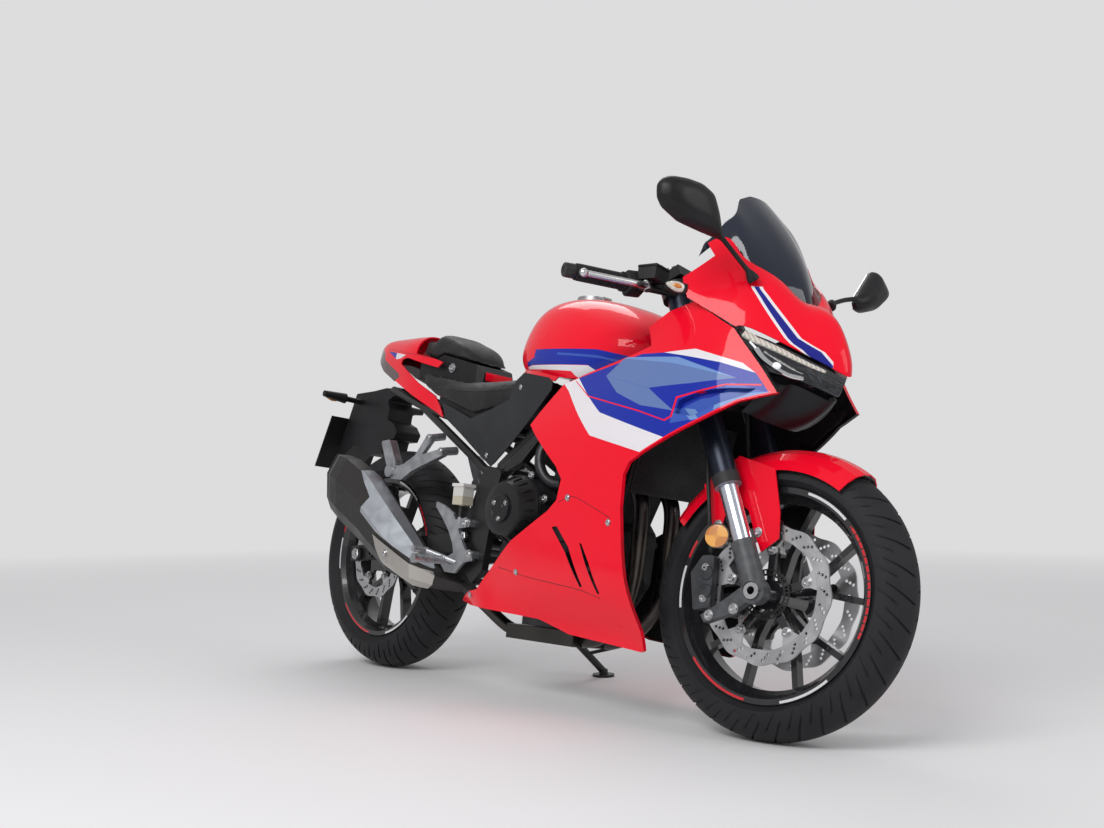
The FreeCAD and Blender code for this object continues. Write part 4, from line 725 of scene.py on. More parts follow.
frame_black = coated("frame_black", (0.009, 0.009, 0.010), (0.015, 0.015, 0.016), 0.32, 0.44)
dress(["frame", "swingarm", "side_stand"], frame_black)
cast_black = coated("cast_black", (0.012, 0.012, 0.013), (0.022, 0.022, 0.024), 0.34, 0.50, 420.0, 0.3)
dress(["yokes"], cast_black)

# Handlebars: clip-on bars of steel tube under black paint, clamped to the fork legs. The
# grips, levers and switches are pieces of a later section.
bar_black = coated("bar_black", (0.010, 0.010, 0.011), (0.018, 0.018, 0.020), 0.36, 0.52)
dress(["handlebar_left", "handlebar_right"], bar_black)

# Calipers: cast aluminium under a dark grey anodised skin, paler where the casting is
# machined. They are bolted to the fork's feet and to the swingarm.
caliper_grey = coated("caliper_grey", (0.040, 0.042, 0.047), (0.075, 0.078, 0.085), 0.38, 0.52, 380.0, 0.45,
                      26.0)
dress(["front_caliper_left", "front_caliper_right", "rear_caliper"], caliper_grey)

# Brake hoses: braided rubber hose from the splitter under the lower yoke to each caliper,
# dull and slightly dusty.
hose_rubber = coated("hose_rubber", (0.014, 0.014, 0.015), (0.024, 0.024, 0.025), 0.50, 0.66, 700.0)
dress(["brake_hoses"], hose_rubber)

# Engine: die-cast covers in satin black over a rougher sand-cast crankcase; the cylinder
# block and the head are a little greyer, and the joint flanges are machined at their edges.
engine_paint = Finish("engine_paint", (0.02, 0.02, 0.022), 0.42, 0.25)
ey = engine_paint.split(engine_paint.place(leaning))[1]
cover = (ey.size() - 0.100).step(0.0, 0.002)
case_tone = engine_paint.mottled(18.0, 0.35, 0.7, (0.030, 0.031, 0.034), (0.062, 0.064, 0.070), 3.0)
cover_tone = engine_paint.mottled(22.0, 0.4, 0.7, (0.016, 0.016, 0.018), (0.030, 0.030, 0.033), 3.0)
engine_paint.feed("Base Color", between(cover, case_tone, cover_tone))
engine_paint.feed("Roughness",
                  engine_paint.noise(30.0, 3.0).step(0.35, 0.7, 0.32, 0.46) + (1.0 - cover) * 0.12)
engine_paint.grain(240.0, 0.22, 0.0008, 4.0)
dress(["engine"], engine_paint)

# Exhaust: stainless header pipes, bent and welded, brown from heat near the ports. The collector box
# under the engine is darker: the colour darkens towards the bottom.
pipe_steel = Finish("pipe_steel", (0.3, 0.27, 0.25), 0.34, 1.0)
hz = pipe_steel.split(pipe_steel.place(leaning))[2]
# Tone by height: darker towards the bottom, brown higher up from heat
height_and_heat = hz.step(0.18, 0.52) + pipe_steel.noise(9.0, 3.0) * 0.35
height_and_heat_tone = node(pipe_steel.tree, "ShaderNodeValToRGB", {"stops": [
    (0.0, (0.045, 0.044, 0.043)), (0.35, (0.090, 0.082, 0.075)), (0.6, (0.12, 0.105, 0.095)),
    (0.8, (0.15, 0.13, 0.11)), (1.0, (0.07, 0.06, 0.06))]}, {0: height_and_heat})
pipe_steel.feed("Base Color", height_and_heat_tone)
pipe_steel.worn(40.0, 0.26, 0.46, 4.0)
pipe_steel.grain(150.0, 0.06, 0.0008, 3.0)
dress(["exhaust_pipes"], pipe_steel)

# Muffler: a welded can of brushed sheet in dark warm grey, with a darker end cap whose
# rolled edge is paler.
can_grey = Finish("can_grey", (0.05, 0.047, 0.046), 0.42, 0.6)
mx = can_grey.split(can_grey.place(leaning))[0]
can_brush = can_grey.noise(1.0, 3.0, can_grey.stretched(leaning, (30.0, 700.0, 700.0)))
end_cap = mx.step(-0.7420, -0.7416, 1.0, 0.0)
cap_edge = mx.step(-0.7440, -0.7436, 1.0, 0.0) * mx.step(-0.7500, -0.7496)
can_tone = between(can_brush.step(0.35, 0.7), (0.034, 0.032, 0.031), (0.056, 0.052, 0.050))
can_tone = between(end_cap, can_tone, (0.016, 0.016, 0.017))
can_grey.feed("Base Color", between(cap_edge, can_tone, (0.17, 0.16, 0.155)))
can_grey.worn(30.0, 0.34, 0.50, 3.0)
can_grey.bump(can_brush, 0.10, 0.0005)
dress(["muffler"], can_grey)

# Muffler shields: brushed stainless above and a warmer satin sheet below, each bolted over
# the can so that a leg can't touch it.
for name, pale_tone, dim_tone in (("muffler_shield_upper", (0.56, 0.59, 0.63), (0.46, 0.49, 0.53)),
                                  ("muffler_shield_lower", (0.56, 0.535, 0.50), (0.44, 0.42, 0.39))):
    sheet = Finish(name + "_steel", pale_tone, 0.34, 0.9)
    brushed = sheet.noise(1.0, 3.0, sheet.stretched(leaning, (40.0, 900.0, 900.0)))
    sheet.feed("Base Color", between(brushed.step(0.3, 0.7), dim_tone, pale_tone))
    sheet.worn(36.0, 0.28, 0.44, 3.0)
    sheet.bump(brushed, 0.08, 0.0005)
    dress([name], sheet)

# Footrest hangers: cast aluminium, bright and slightly grained, and the pillion's the same.
# The rear brake's reservoir, on the right one, is a milky plastic cup with a pale cap.
hanger_alloy = Finish("hanger_alloy", (0.50, 0.51, 0.53), 0.40, 0.92)
hanger_alloy.feed("Base Color",
                  hanger_alloy.mottled(34.0, 0.35, 0.7, (0.36, 0.37, 0.39), (0.55, 0.56, 0.58), 4.0))
hanger_alloy.worn(50.0, 0.34, 0.50, 3.0)
hanger_alloy.grain(420.0, 0.14, 0.0006, 3.0)
dress(["pillion_footrest_left", "pillion_footrest_right", "footrest_left"], hanger_alloy)
rest_right = Finish("footrest_and_reservoir", (0.50, 0.51, 0.53), 0.40)
rx, ry, rz = rest_right.split(rest_right.place(leaning))
cup = rz.step(0.4560, 0.4562) * rx.step(-0.2460, -0.2456) * rx.step(-0.1956, -0.1952, 1.0, 0.0)
cup_cap = cup * rz.step(0.5035, 0.5038)
cup_hose = rz.step(0.4272, 0.4276) * rz.step(0.4556, 0.4560, 1.0, 0.0) * rx.step(-0.2350, -0.2340) * rx.step(
    -0.2130, -0.2120, 1.0, 0.0) * ry.step(-0.1640, -0.1636)
fluid = rz.step(0.4800, 0.4803, 1.0, 0.0)
rest_tone = rest_right.mottled(34.0, 0.35, 0.7, (0.36, 0.37, 0.39), (0.55, 0.56, 0.58), 4.0)
rest_tone = between(cup, rest_tone, between(fluid, (0.62, 0.61, 0.58), (0.50, 0.46, 0.36)))
rest_tone = between(cup_cap, rest_tone, (0.70, 0.69, 0.66))
rest_right.feed("Base Color", between(cup_hose, rest_tone, (0.016, 0.016, 0.017)))
rest_right.feed("Metallic", (1.0 - cup) * (1.0 - cup_hose) * 0.92)
rest_right.worn(50.0, 0.34, 0.48, 3.0)
rest_right.grain(420.0, 0.10, 0.0006, 3.0)
dress(["footrest_right"], rest_right)

# Filler cap: a satin aluminium disc, turned and hinged at the front. Its ring, flap and
# screws are pieces of a later section.
cap_metal = Finish("cap_metal", (0.45, 0.45, 0.46), 0.32, 0.95)
cap_metal.grain(500.0, 0.08, 0.0005)
cap_metal.worn(60.0, 0.26, 0.42)
dress(["fuel_cap"], cap_metal)


# Unpainted mouldings: nylon-filled black plastic with a fine spark-eroded grain. The side
# covers are a touch greyer and smoother, and the seat's base is near black.
def moulded(name, dark, pale_tone, rough, grain=900.0, depth=0.16):
    plastic = Finish(name, dark, rough, specular_ior_level=0.3)
    plastic.feed("Base Color", plastic.mottled(8.0, 0.38, 0.72, dark, pale_tone, 4.0))
    plastic.worn(12.0, rough - 0.06, rough + 0.07, 3.0, start=0.35)
    plastic.grain(grain, depth, 0.0006, 3.0)
    return plastic


black_moulding = moulded("black_moulding", (0.007, 0.007, 0.008), (0.014, 0.014, 0.016), 0.50)
dress(["rear_mudguard", "seat_base"], black_moulding)
nose_moulding = moulded("nose_moulding", (0.004, 0.005, 0.007), (0.008, 0.009, 0.013), 0.40, 700.0, 0.05)
dress(["nose_panel"], nose_moulding)
cover_moulding = moulded("cover_moulding", (0.018, 0.019, 0.022), (0.028, 0.029, 0.033), 0.48, 800.0, 0.12)
dress(["side_cover_left", "side_cover_right"], cover_moulding)
mirror_shell = moulded("mirror_shell", (0.007, 0.007, 0.008), (0.013, 0.013, 0.015), 0.42, 900.0, 0.06)

# Windscreen: thin acrylic sheet, formed warm, in a dark blue smoke tint and glossy on both
# faces. It is screwed to the cowl along its lower edge.
screen_smoke = Finish("screen_smoke", (0.010, 0.014, 0.030), 0.05, coat_weight=0.5, coat_roughness=0.02,
                      coat_ior=1.3)
screen_smoke.feed("Alpha", screen_smoke.noise(3.0).step(0.3, 0.7, 0.90, 0.94))
screen_smoke.worn(5.0, 0.04, 0.09, 3.0)
dress(["windscreen"], screen_smoke)

# Headlamps: two slit units behind clear lenses, joined by a mesh grille at the nose. Each has
# a pale light bar along its upper edge, a row of clear lenses under it and a bright lower
# reflector; the bowl between them is black.
def skin(rings, count, capped=True):
    # Faces between rings of `count` points each, with the two ends closed
    faces = []
    for r in range(rings - 1):
        for k in range(count):
            a, b = r * count + k, r * count + (k + 1) % count
            faces.append((a, b, b + count, a + count))
    if capped:
        faces += [tuple(range(count))[::-1], tuple((rings - 1) * count + k for k in range(count))]
    return faces


def swept(name, path, outline, finish, body, slot, angle=30.0):
    # A profile carried along a path of points; `outline` gives (across, out) pairs for each
    points = [spot + side * (u * size) + out * (v * size)
              for spot, side, out, size in path for u, v in outline]
    piece = inked(name, points, skin(len(path), len(outline)), finish, body)
    rounded(piece, angle)
    return piece


def trail(matrix, spots, out, size=1.0, smooth=3):
    # A smooth path through places in the upright frame, in millimetres, facing `out`
    path = []
    dense = [Vector(p) for p in spots]
    for _ in range(smooth if len(dense) > 2 else 0):
        denser = [dense[0]]
        for a, b in zip(dense, dense[1:]):
            denser += [a * 0.75 + b * 0.25, a * 0.25 + b * 0.75]
        dense = denser + [dense[-1]]
    turn = matrix.to_3x3()
    for k, p in enumerate(dense):
        way = (dense[min(k + 1, len(dense) - 1)] - dense[max(k - 1, 0)]).normalized()
        face = Vector(out)
        side = way.cross(face).normalized()
        face = side.cross(way).normalized()
        ends = size[0] + (size[1] - size[0]) * k / (len(dense) - 1) if isinstance(size, tuple) else size
        path.append((matrix @ (p * 0.001), turn @ side, turn @ face, ends))
    return path


lamp_black = Finish("lamp_black", (0.010, 0.011, 0.014), 0.16, coat_weight=0.7, coat_roughness=0.03)
_, ly, lz = lamp_black.split(lamp_black.place(leaning))
lamp_black.feed("Base Color",
                lamp_black.mottled(40.0, 0.4, 0.7, (0.008, 0.009, 0.012), (0.018, 0.020, 0.026)))
lamp_black.worn(12.0, 0.12, 0.24)
lamp_black.bump((lz * 1400.0).sine() * ly.size().step(0.045, 0.046, 1.0, 0.0), 0.2, 0.001)
dress(["headlamps"], lamp_black)

light_bar = Finish("light_bar", (0.55, 0.53, 0.48), 0.22, coat_weight=1.0, coat_roughness=0.03)
light_bar.emit((0.95, 0.90, 0.80), 0.12)
by = light_bar.split(light_bar.place(leaning))[1]
light_bar.feed("Base Color",
               between((by * 900.0).sine().step(-0.4, 0.4), (0.42, 0.40, 0.36), (0.66, 0.63, 0.56)))
# The clear lenses are painted white and made to glow: a painted highlight on their glass
lens_highlight_white = Finish("lens_highlight_white", (0.86, 0.88, 0.90), 0.12, coat_weight=1.0)
lens_highlight_white.emit((0.90, 0.95, 1.0), 0.35)
lens_highlight_white.worn(90.0, 0.08, 0.20)
reflector = Finish("lamp_reflector", (0.72, 0.74, 0.76), 0.10, 1.0)
reflector.worn(60.0, 0.06, 0.20)
bezel_dark = Finish("bezel_dark", (0.05, 0.053, 0.062), 0.30, 0.4)
bezel_dark.worn(70.0, 0.22, 0.38)

flat_bar = [(-0.5, 0.0), (-0.42, 0.16), (0.42, 0.16), (0.5, 0.0), (0.42, -0.3), (-0.42, -0.3)]
lamp_rows = [(0, 818, 751), (34, 794, 767), (72, 754, 790), (113, 704, 817), (149, 650, 838)]


def lamp_spot(y, drop, lift=0.6):
    # A place on the lamp's face: `y` across, `drop` below its upper edge, which lamp_rows gives
    back = leaning.inverted()
    top = Vector((0.0, y, 0.0))
    for (y0, x0, z0), (y1, x1, z1) in zip(lamp_rows, lamp_rows[1:]):
        if y0 <= abs(y) <= y1:
            t = (abs(y) - y0) / (y1 - y0)
            top = Vector((x0 + (x1 - x0) * t, y, z0 + (z1 - z0) * t - drop))
    start = leaning @ ((top + Vector((160, 0, 0))) * 0.001)
    way = (leaning.to_3x3() @ Vector((-1, 0, 0))).normalized()
    hit, spot, normal, face = nodes["headlamps"].ray_cast(start, way)
    if not hit:
        return None
    return tuple(back @ spot * 1000 + back.to_3x3() @ normal * lift)


for side, end in both_sides:
    def across(points, lift):
        found = [lamp_spot(side * y, drop, lift) for y, drop in points]
        return [f for f in found if f]

    facing = (0.72, side * 0.45, 0.52)
    # The row of clear lenses takes the white, glowing lens finish, a painted highlight
    for name, places, lift, size, finish, slot in (
            ("light_bar_", [(145, 7), (134, 9), (112, 9.5), (86, 8.5), (60, 7), (44, 5.5), (34, 4.5)], 0.4,
             (0.0200, 0.0070), light_bar, "plate_white"),
            ("light_lens_", [(138, 20), (131, 27), (126, 36)], 0.5, (0.0044, 0.0058), lens_highlight_white,
             "plate_white"),
            ("lower_reflector_", [(131, 29), (125, 40), (117, 46), (104, 50), (88, 49), (74, 44), (60, 37)],
             0.5, (0.0150, 0.0105), reflector, "steel"),
            ("lamp_brow_", [(119, 27), (104, 30), (90, 31.5), (76, 31), (62, 28)], 0.5,
             (0.0060, 0.0042), reflector, "steel")):
        found = across(places, lift)
        if len(found) > 1:
            swept(name + end, trail(leaning, found, facing, size), flat_bar, finish, "chassis", slot)
    for k, pair in enumerate((((70, 12), (46, 30)), ((52, 10), (34, 26)))):
        found = across(pair, 0.6)
        if len(found) == 2:
            swept("grille_strut_%d_%s" % (k + 1, end), trail(leaning, found, facing, 0.0042), flat_bar,
                  bezel_dark, "chassis", "grey_plastic", 0.0)

# Grille: a moulded plastic honeycomb between the lamps, clipped in behind their lenses. It
# is one six-sided cell, set in staggered rows.
grille_cells = []
bpy.ops.object.select_all(action="DESELECT")
bpy.ops.mesh.primitive_torus_add(major_segments=6, minor_segments=4, major_radius=0.0033, minor_radius=0.0006)
cell = bpy.context.object
patterns.append(cell)
for row in range(5):
    for column in range(-5, 6):
        y = (column + (row % 2) * 0.5) * 6.2
        spot = lamp_spot(y, 8 + row * 5.4, 0.5)
        if spot and abs(y) < 34:
            side = 1 if column >= 0 else -1
            grille_cells.append(facing_way(leaning, spot, (0.86, side * 0.40, 0.25)))
planted("grille_mesh", cell, grille_cells, "chassis", bezel_dark, 40.0)

# Front direction indicators: a clear moulded lens with an amber bulb behind it, snapped on
# to a black housing at the end of a rubber stalk.
amber = Finish("amber_lens", (0.72, 0.22, 0.015), 0.14, coat_weight=1.0, coat_roughness=0.02)
amber.feed("Base Color", amber.mottled(70.0, 0.35, 0.7, (0.62, 0.17, 0.010), (0.85, 0.34, 0.04)))
amber.bump((amber.split(amber.place())[2] * 1800.0).sine(), 0.25, 0.0006)
clear_lens = Finish("clear_lens", (0.62, 0.58, 0.52), 0.10, coat_weight=1.0, coat_roughness=0.02)
clear_lens.feed("Base Color", clear_lens.mottled(60.0, 0.35, 0.7, (0.50, 0.45, 0.38), (0.74, 0.70, 0.64)))
clear_lens.bump((clear_lens.split(clear_lens.place())[0] * 1500.0).sine(), 0.2, 0.0006)


def lens_shape(name, length, height, depth):
    # A pointed oval lens along x, bulging along z
    bpy.ops.object.select_all(action="DESELECT")
    bpy.ops.mesh.primitive_uv_sphere_add(segments=24, ring_count=12, radius=1.0)
    piece = bpy.context.object
    piece.name = name
    for v in piece.data.vertices:
        squeeze = 1.0 - 0.35 * max(0.0, v.co.x)
        bulge = depth if v.co.z > 0 else depth * 0.25
        v.co = Vector((v.co.x * length / 2, v.co.y * height / 2 * squeeze, v.co.z * bulge))
    patterns.append(piece)
    return piece


oval = lens_shape("indicator_oval", 0.046, 0.022, 0.007)
small_oval = lens_shape("indicator_bulb", 0.026, 0.013, 0.0105)
for side, end in both_sides:
    along_way = Vector((-0.50, side * 0.86, 0.14)).normalized()
    out = Vector((0.86, side * 0.50, 0.05))
    out = (out - along_way * out.dot(along_way)).normalized()
    third = out.cross(along_way)
    seat_turn = Matrix((along_way, third, out)).transposed().to_4x4()
    spot = Vector((525, side * 218, 921)) + out * 8
    where = leaning @ Matrix.Translation(spot * 0.001) @ seat_turn
    planted("front_indicator_lens_" + end, oval, [where], "chassis", clear_lens)
    planted("front_indicator_bulb_" + end, small_oval, [where], "chassis", amber)
dress(["front_indicator_left", "front_indicator_right"], black_moulding)

# Rear direction indicators: the same kind of lens, all amber and a little larger, facing
# back on the arms of the plate holder.
for side, end in both_sides:
    spot = Vector((-933, side * 140, 771))
    seat_turn = Matrix(((0, side, 0), (0, 0, 1), (-1, 0, 0))).transposed().to_4x4()
    planted("rear_indicator_lens_" + end, oval,
            [leaning @ Matrix.Translation(spot * 0.001) @ seat_turn @ Matrix.Scale(1.3, 4)],
            "chassis", amber)

# Low beams: a round glass projector lens on the lower reflector of each lamp, under its
# brow.
projector = lens_shape("projector_lens", 0.019, 0.015, 0.006)
# The projector lens takes the white, glowing lens finish: a painted highlight on the glass
for side, end in both_sides:
    spot = lamp_spot(side * 102, 43.5, 0.6)
    if spot:
        planted("low_beam_" + end, projector, [facing_way(leaning, spot, (0.80, side * 0.45, 0.30))],
                "chassis", lens_highlight_white)

# Tail lamp: a dark red moulded lens under the tail's end, with a brighter strip of diodes
# behind its lower edge.
tail_lens = Finish("tail_lens", (0.10, 0.004, 0.006), 0.10, coat_weight=1.0, coat_roughness=0.02)
qx, qy, _ = tail_lens.split(tail_lens.place(leaning))
cells = (qy * 700.0).sine().step(-0.2, 0.3)
strip_mask = qx.step(-0.842, -0.838, 1.0, 0.0) * cells
tail_lens.feed("Base Color", between(strip_mask, (0.045, 0.003, 0.005), (0.40, 0.006, 0.012)))
tail_lens.worn(30.0, 0.06, 0.16)
dress(["tail_lamp"], tail_lens)

# Amber side reflector: a round moulded prism with a dark rim, on a small bracket behind the
# right fork leg; the left one mirrors it.
bpy.ops.object.select_all(action="DESELECT")
bpy.ops.mesh.primitive_cylinder_add(vertices=48, radius=0.026, depth=0.007, location=(0, 0, 0.0035))
prism_disc = bpy.context.object
bpy.ops.object.transform_apply(location=True)
bpy.ops.object.mode_set(mode="EDIT")
bpy.ops.mesh.select_all(action="DESELECT")
bpy.ops.mesh.select_mode(type="FACE")
drawn = bmesh.from_edit_mesh(prism_disc.data)
for face in drawn.faces:
    face.select = face.normal.z > 0.9
bmesh.update_edit_mesh(prism_disc.data)
bpy.ops.mesh.inset(thickness=0.0024)
bpy.ops.mesh.inset(thickness=0.0006, depth=-0.0012)
bpy.ops.mesh.poke()
bpy.ops.object.mode_set(mode="OBJECT")
for v in prism_disc.data.vertices:
    if abs(v.co.x) < 1e-5 and abs(v.co.y) < 1e-5 and v.co.z > 0.004:
        v.co.z += 0.0012
patterns.append(prism_disc)
reflector_spot = Vector((607, 121, 405))
reflex = Finish("reflex_amber", (0.72, 0.25, 0.02), 0.16, coat_weight=1.0, coat_roughness=0.03)
vx, _, vz = reflex.split(reflex.place(steered))
off_x, off_z = vx - reflector_spot.x * 0.001, vz - reflector_spot.z * 0.001
quarter = (off_x * off_z * 1e6).step(-20.0, 20.0)
grid = ((vx * 2600.0).sine() * (vz * 2600.0).sine()).step(-0.3, 0.3)
reflex_tone = between(quarter, (0.50, 0.14, 0.010), (0.80, 0.36, 0.05))
reflex_tone = between(grid * 0.35, reflex_tone, (0.90, 0.50, 0.12))
reflex.feed("Base Color", between((off_x * off_x + off_z * off_z).root().step(0.0235, 0.0237), reflex_tone,
                                  (0.06, 0.022, 0.008)))
reflex.bump(grid, 0.2, 0.0006)
for side, end in both_sides:
    spot = (reflector_spot.x, side * reflector_spot.y, reflector_spot.z)
    planted("side_reflector_" + end, prism_disc, [facing_way(steered, spot, (0.25, side * 1.0, 0.05))],
            "steering", reflex, 30.0)
    bracket = [(637, side * 106, 414), (624, side * 111, 410), (612, side * 118, 406)]
    swept("reflector_bracket_" + end, trail(steered, bracket, (0.9, 0, 0.42), 0.012), flat_bar, bar_black,
          "steering", "black_paint", 0.0)

# Seats: moulded foam under a black vinyl with a leather grain. The cover is swollen by a
# short cloth run on a copy of each solid, then welted with a seam round the rider's pad.
def vinyl(name, dark, pale_tone, grain):
    cover = Finish(name, dark, 0.52, sheen_weight=0.04, sheen_roughness=0.5, specular_ior_level=0.35)
    hide = node(cover.tree, "ShaderNodeTexVoronoi", {"feature": "DISTANCE_TO_EDGE"},
                {"Vector": cover.place(), "Scale": grain})
    crease = hide.step(0.0, 0.16)
    cover.feed("Base Color", cover.mottled(14.0, 0.38, 0.72, dark, pale_tone, 4.0))
    cover.worn(22.0, 0.44, 0.60, 3.0, start=0.35)
    cover.bump(crease * 0.7 + cover.noise(900.0, 2.0) * 0.3, 0.30, 0.0008)
    return cover


seat_vinyl = vinyl("seat_vinyl", (0.008, 0.008, 0.009), (0.017, 0.017, 0.019), 420.0)


def merged_copy(name, cad_name, distance):
    # A drawn solid's mesh with its loose triangles joined, ready to be worked on
    mesh = nodes[cad_name].data.copy()
    mesh.materials.clear()
    merged = bmesh.new()
    merged.from_mesh(mesh)
    bmesh.ops.remove_doubles(merged, verts=merged.verts, dist=distance)
    bmesh.ops.recalc_face_normals(merged, faces=merged.faces)
    merged.to_mesh(mesh)
    merged.free()
    piece = bpy.data.objects.new(name, mesh)
    bpy.context.scene.collection.objects.link(piece)
    pick(piece)
    return piece


def changed(piece, kind, **settings):
    # One modifier, set and applied at once
    change = piece.modifiers.new(kind.lower(), kind)
    for key, value in settings.items():
        setattr(change, key, value)
    bpy.ops.object.modifier_apply(modifier=change.name)


foam_swell, foam_shrink, foam_fill = 0.006, 0.0045, 0.75


def cushion(name, cad_name):
    # A swollen copy of the solid: remesh, pressure, capped movement, one subdivision
    piece = merged_copy(name, cad_name, 0.0001)
    changed(piece, "REMESH", mode="VOXEL", voxel_size=0.005)
    for v in piece.data.vertices:
        v.co -= v.normal * foam_shrink
    start = [v.co.copy() for v in piece.data.vertices]
    cloth = piece.modifiers.new("cloth", "CLOTH")
    cloth.settings.use_pressure = True
    cloth.settings.uniform_pressure_force = 4.0
    cloth.settings.effector_weights.gravity = 0.0
    cloth.point_cache.frame_start = 1
    cloth.point_cache.frame_end = 20
    for step in range(1, 21):
        bpy.context.scene.frame_set(step)
    bpy.ops.object.modifier_apply(modifier=cloth.name)
    bpy.context.scene.frame_set(1)
    for v, first in zip(piece.data.vertices, start):
        move = v.co - first
        if move.length > foam_swell:
            v.co = first + move * (foam_swell / move.length)
    changed(piece, "SMOOTH", factor=0.5, iterations=6)
    changed(piece, "SUBSURF", levels=1, render_levels=1)
    bpy.ops.object.shade_smooth()
    piece.data.materials.append(seat_vinyl.material)
    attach(piece, "chassis")
    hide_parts(cad_name)
    return piece


rider_pad = cushion("rider_seat_pad", "seat")
cushion("pillion_seat_pad", "pillion_seat")

# Welts: piped seams across the rider's pad at its front and its back and along each side,
# a vinyl cord sewn in between two panels of the cover. They are laid on the swollen cover.
welt_vinyl = vinyl("welt_vinyl", (0.012, 0.012, 0.013), (0.024, 0.024, 0.026), 600.0)


def laid_on(piece, spots, way, lift):
    # Drop each place on to a finished piece along `way`, in the upright frame
    found = []
    back = leaning.inverted()
    turn = leaning.to_3x3()
    for p in spots:
        hit, spot, normal, face = piece.ray_cast(leaning @ (Vector(p) * 0.001),
                                                 (turn @ Vector(way)).normalized())
        if hit:
            found.append(tuple(back @ spot * 1000 + back.to_3x3() @ normal * lift))
    return found


round_bead = [(0.5 * math.cos(a * math.pi / 4), 0.5 * math.sin(a * math.pi / 4)) for a in range(8)]
welts = [("rider_seat_welt", [(-470 + 6 * abs(k) / 10, 12 * k, 900) for k in range(-9, 10)], (0, 0, -1),
          0.0036),
         ("rider_seat_front_welt", [(-150, 11 * k, 900) for k in range(-8, 9)], (0, 0, -1), 0.0030)]
for side, end in both_sides:
    heights = [768 - 10 * math.sin(min(1.0, k / 14) * math.pi) + 14 * max(0, k - 13) / 9 for k in range(23)]
    welts.append(("rider_seat_side_welt_" + end,
                  [(-120 - 18 * k, side * 300, z) for k, z in enumerate(heights)], (0, -side, 0), 0.0030))
for name, places, way, size in welts:
    found = laid_on(rider_pad, places, way, 0.0)
    if len(found) > 3:
        swept(name, trail(leaning, found, tuple(-c for c in way), size, 2), round_bead, welt_vinyl, "chassis",
              "seat_cover", 60.0)

# Final drive: a sealed roller chain in blackened steel with paler side plates, over a steel
# rear sprocket with forty-one teeth. Two kinds of link are modelled and set in turn.
chain_steel = Finish("chain_steel", (0.16, 0.15, 0.14), 0.38, 0.9)
chain_steel.feed("Base Color",
                 chain_steel.mottled(180.0, 0.35, 0.7, (0.09, 0.085, 0.08), (0.26, 0.25, 0.23), 3.0))
chain_steel.worn(120.0, 0.30, 0.52)
pitch_length = 0.015875
plate_radius, plate_waist, plate_thickness = 0.0064, 0.0047, 0.0018
sprocket_big = Vector((-0.705, 0.104, 0.3119))
sprocket_small = Vector((-0.125, 0.104, 0.386))
big_r, small_r = 0.1037, 0.0382


def walled(rim, y0, y1):
    # A flat outline given a thickness, as points and faces
    n = len(rim)
    faces = [tuple(range(n)), tuple(range(2 * n - 1, n - 1, -1))]
    faces += [(j, j + n, (j + 1) % n + n, (j + 1) % n) for j in range(n)]
    return [(x, y0, z) for x, z in rim] + [(x, y1, z) for x, z in rim], faces


def link_plate(y):
    # One figure-of-eight side plate along x from 0 to the pitch
    rim = []
    for x, first, waist in ((0.0, 90, -plate_waist), (pitch_length, -90, plate_waist)):
        for k in range(5):
            a = math.radians(first + 45 * k)
            rim.append((x + plate_radius * math.cos(a), plate_radius * math.sin(a)))
        rim.append((pitch_length / 2, waist))
    return walled(rim, y, y + plate_thickness)


def barrel(x, radius, half):
    angles = [2 * math.pi * k / 8 for k in range(8)]
    return walled([(x + radius * math.cos(a), radius * math.sin(a)) for a in angles], -half, half)


def link_pattern(name, shapes):
    points, faces = [], []
    for shape_points, shape_faces in shapes:
        base = len(points)
        points += shape_points
        faces += [tuple(base + i for i in f) for f in shape_faces]
    mesh = bpy.data.meshes.new(name)
    mesh.from_pydata(points, [], faces)
    piece = bpy.data.objects.new(name, mesh)
    bpy.context.scene.collection.objects.link(piece)
    patterns.append(piece)
    return piece


inner_link = link_pattern("inner_link", [link_plate(-0.0050), link_plate(0.0032), barrel(0.0, 0.0050, 0.0031),
                                         barrel(pitch_length, 0.0050, 0.0031)])
outer_link = link_pattern("outer_link", [link_plate(-0.0070), link_plate(0.0052), barrel(0.0, 0.0024, 0.0078),
                                         barrel(pitch_length, 0.0024, 0.0078)])

gap = sprocket_small - sprocket_big
reach = math.hypot(gap.x, gap.z)
tilt = math.atan2(gap.z, gap.x)
lead_angle = math.acos((big_r - small_r) / reach)
run_length = math.sqrt(reach ** 2 - (big_r - small_r) ** 2)
small_arc = small_r * 2 * lead_angle
big_arc = big_r * (2 * math.pi - 2 * lead_angle)
loop_length = 2 * run_length + small_arc + big_arc


def on_loop(s):
    # A point of the pitch line, measured from where the upper run leaves the rear sprocket
    s = s % loop_length
    a = tilt + lead_angle
    if s < run_length:
        way = Vector((math.sin(a), 0, -math.cos(a)))
        return sprocket_big + Vector((math.cos(a), 0, math.sin(a))) * big_r + way * s
    s -= run_length
    if s < small_arc:
        b = a - s / small_r
        return sprocket_small + Vector((math.cos(b), 0, math.sin(b))) * small_r
    s -= small_arc
    a = tilt - lead_angle
    if s < run_length:
        way = Vector((math.sin(a), 0, -math.cos(a)))
        return sprocket_small + Vector((math.cos(a), 0, math.sin(a))) * small_r + way * s
    s -= run_length
    b = a - s / big_r
    return sprocket_big + Vector((math.cos(b), 0, math.sin(b))) * big_r


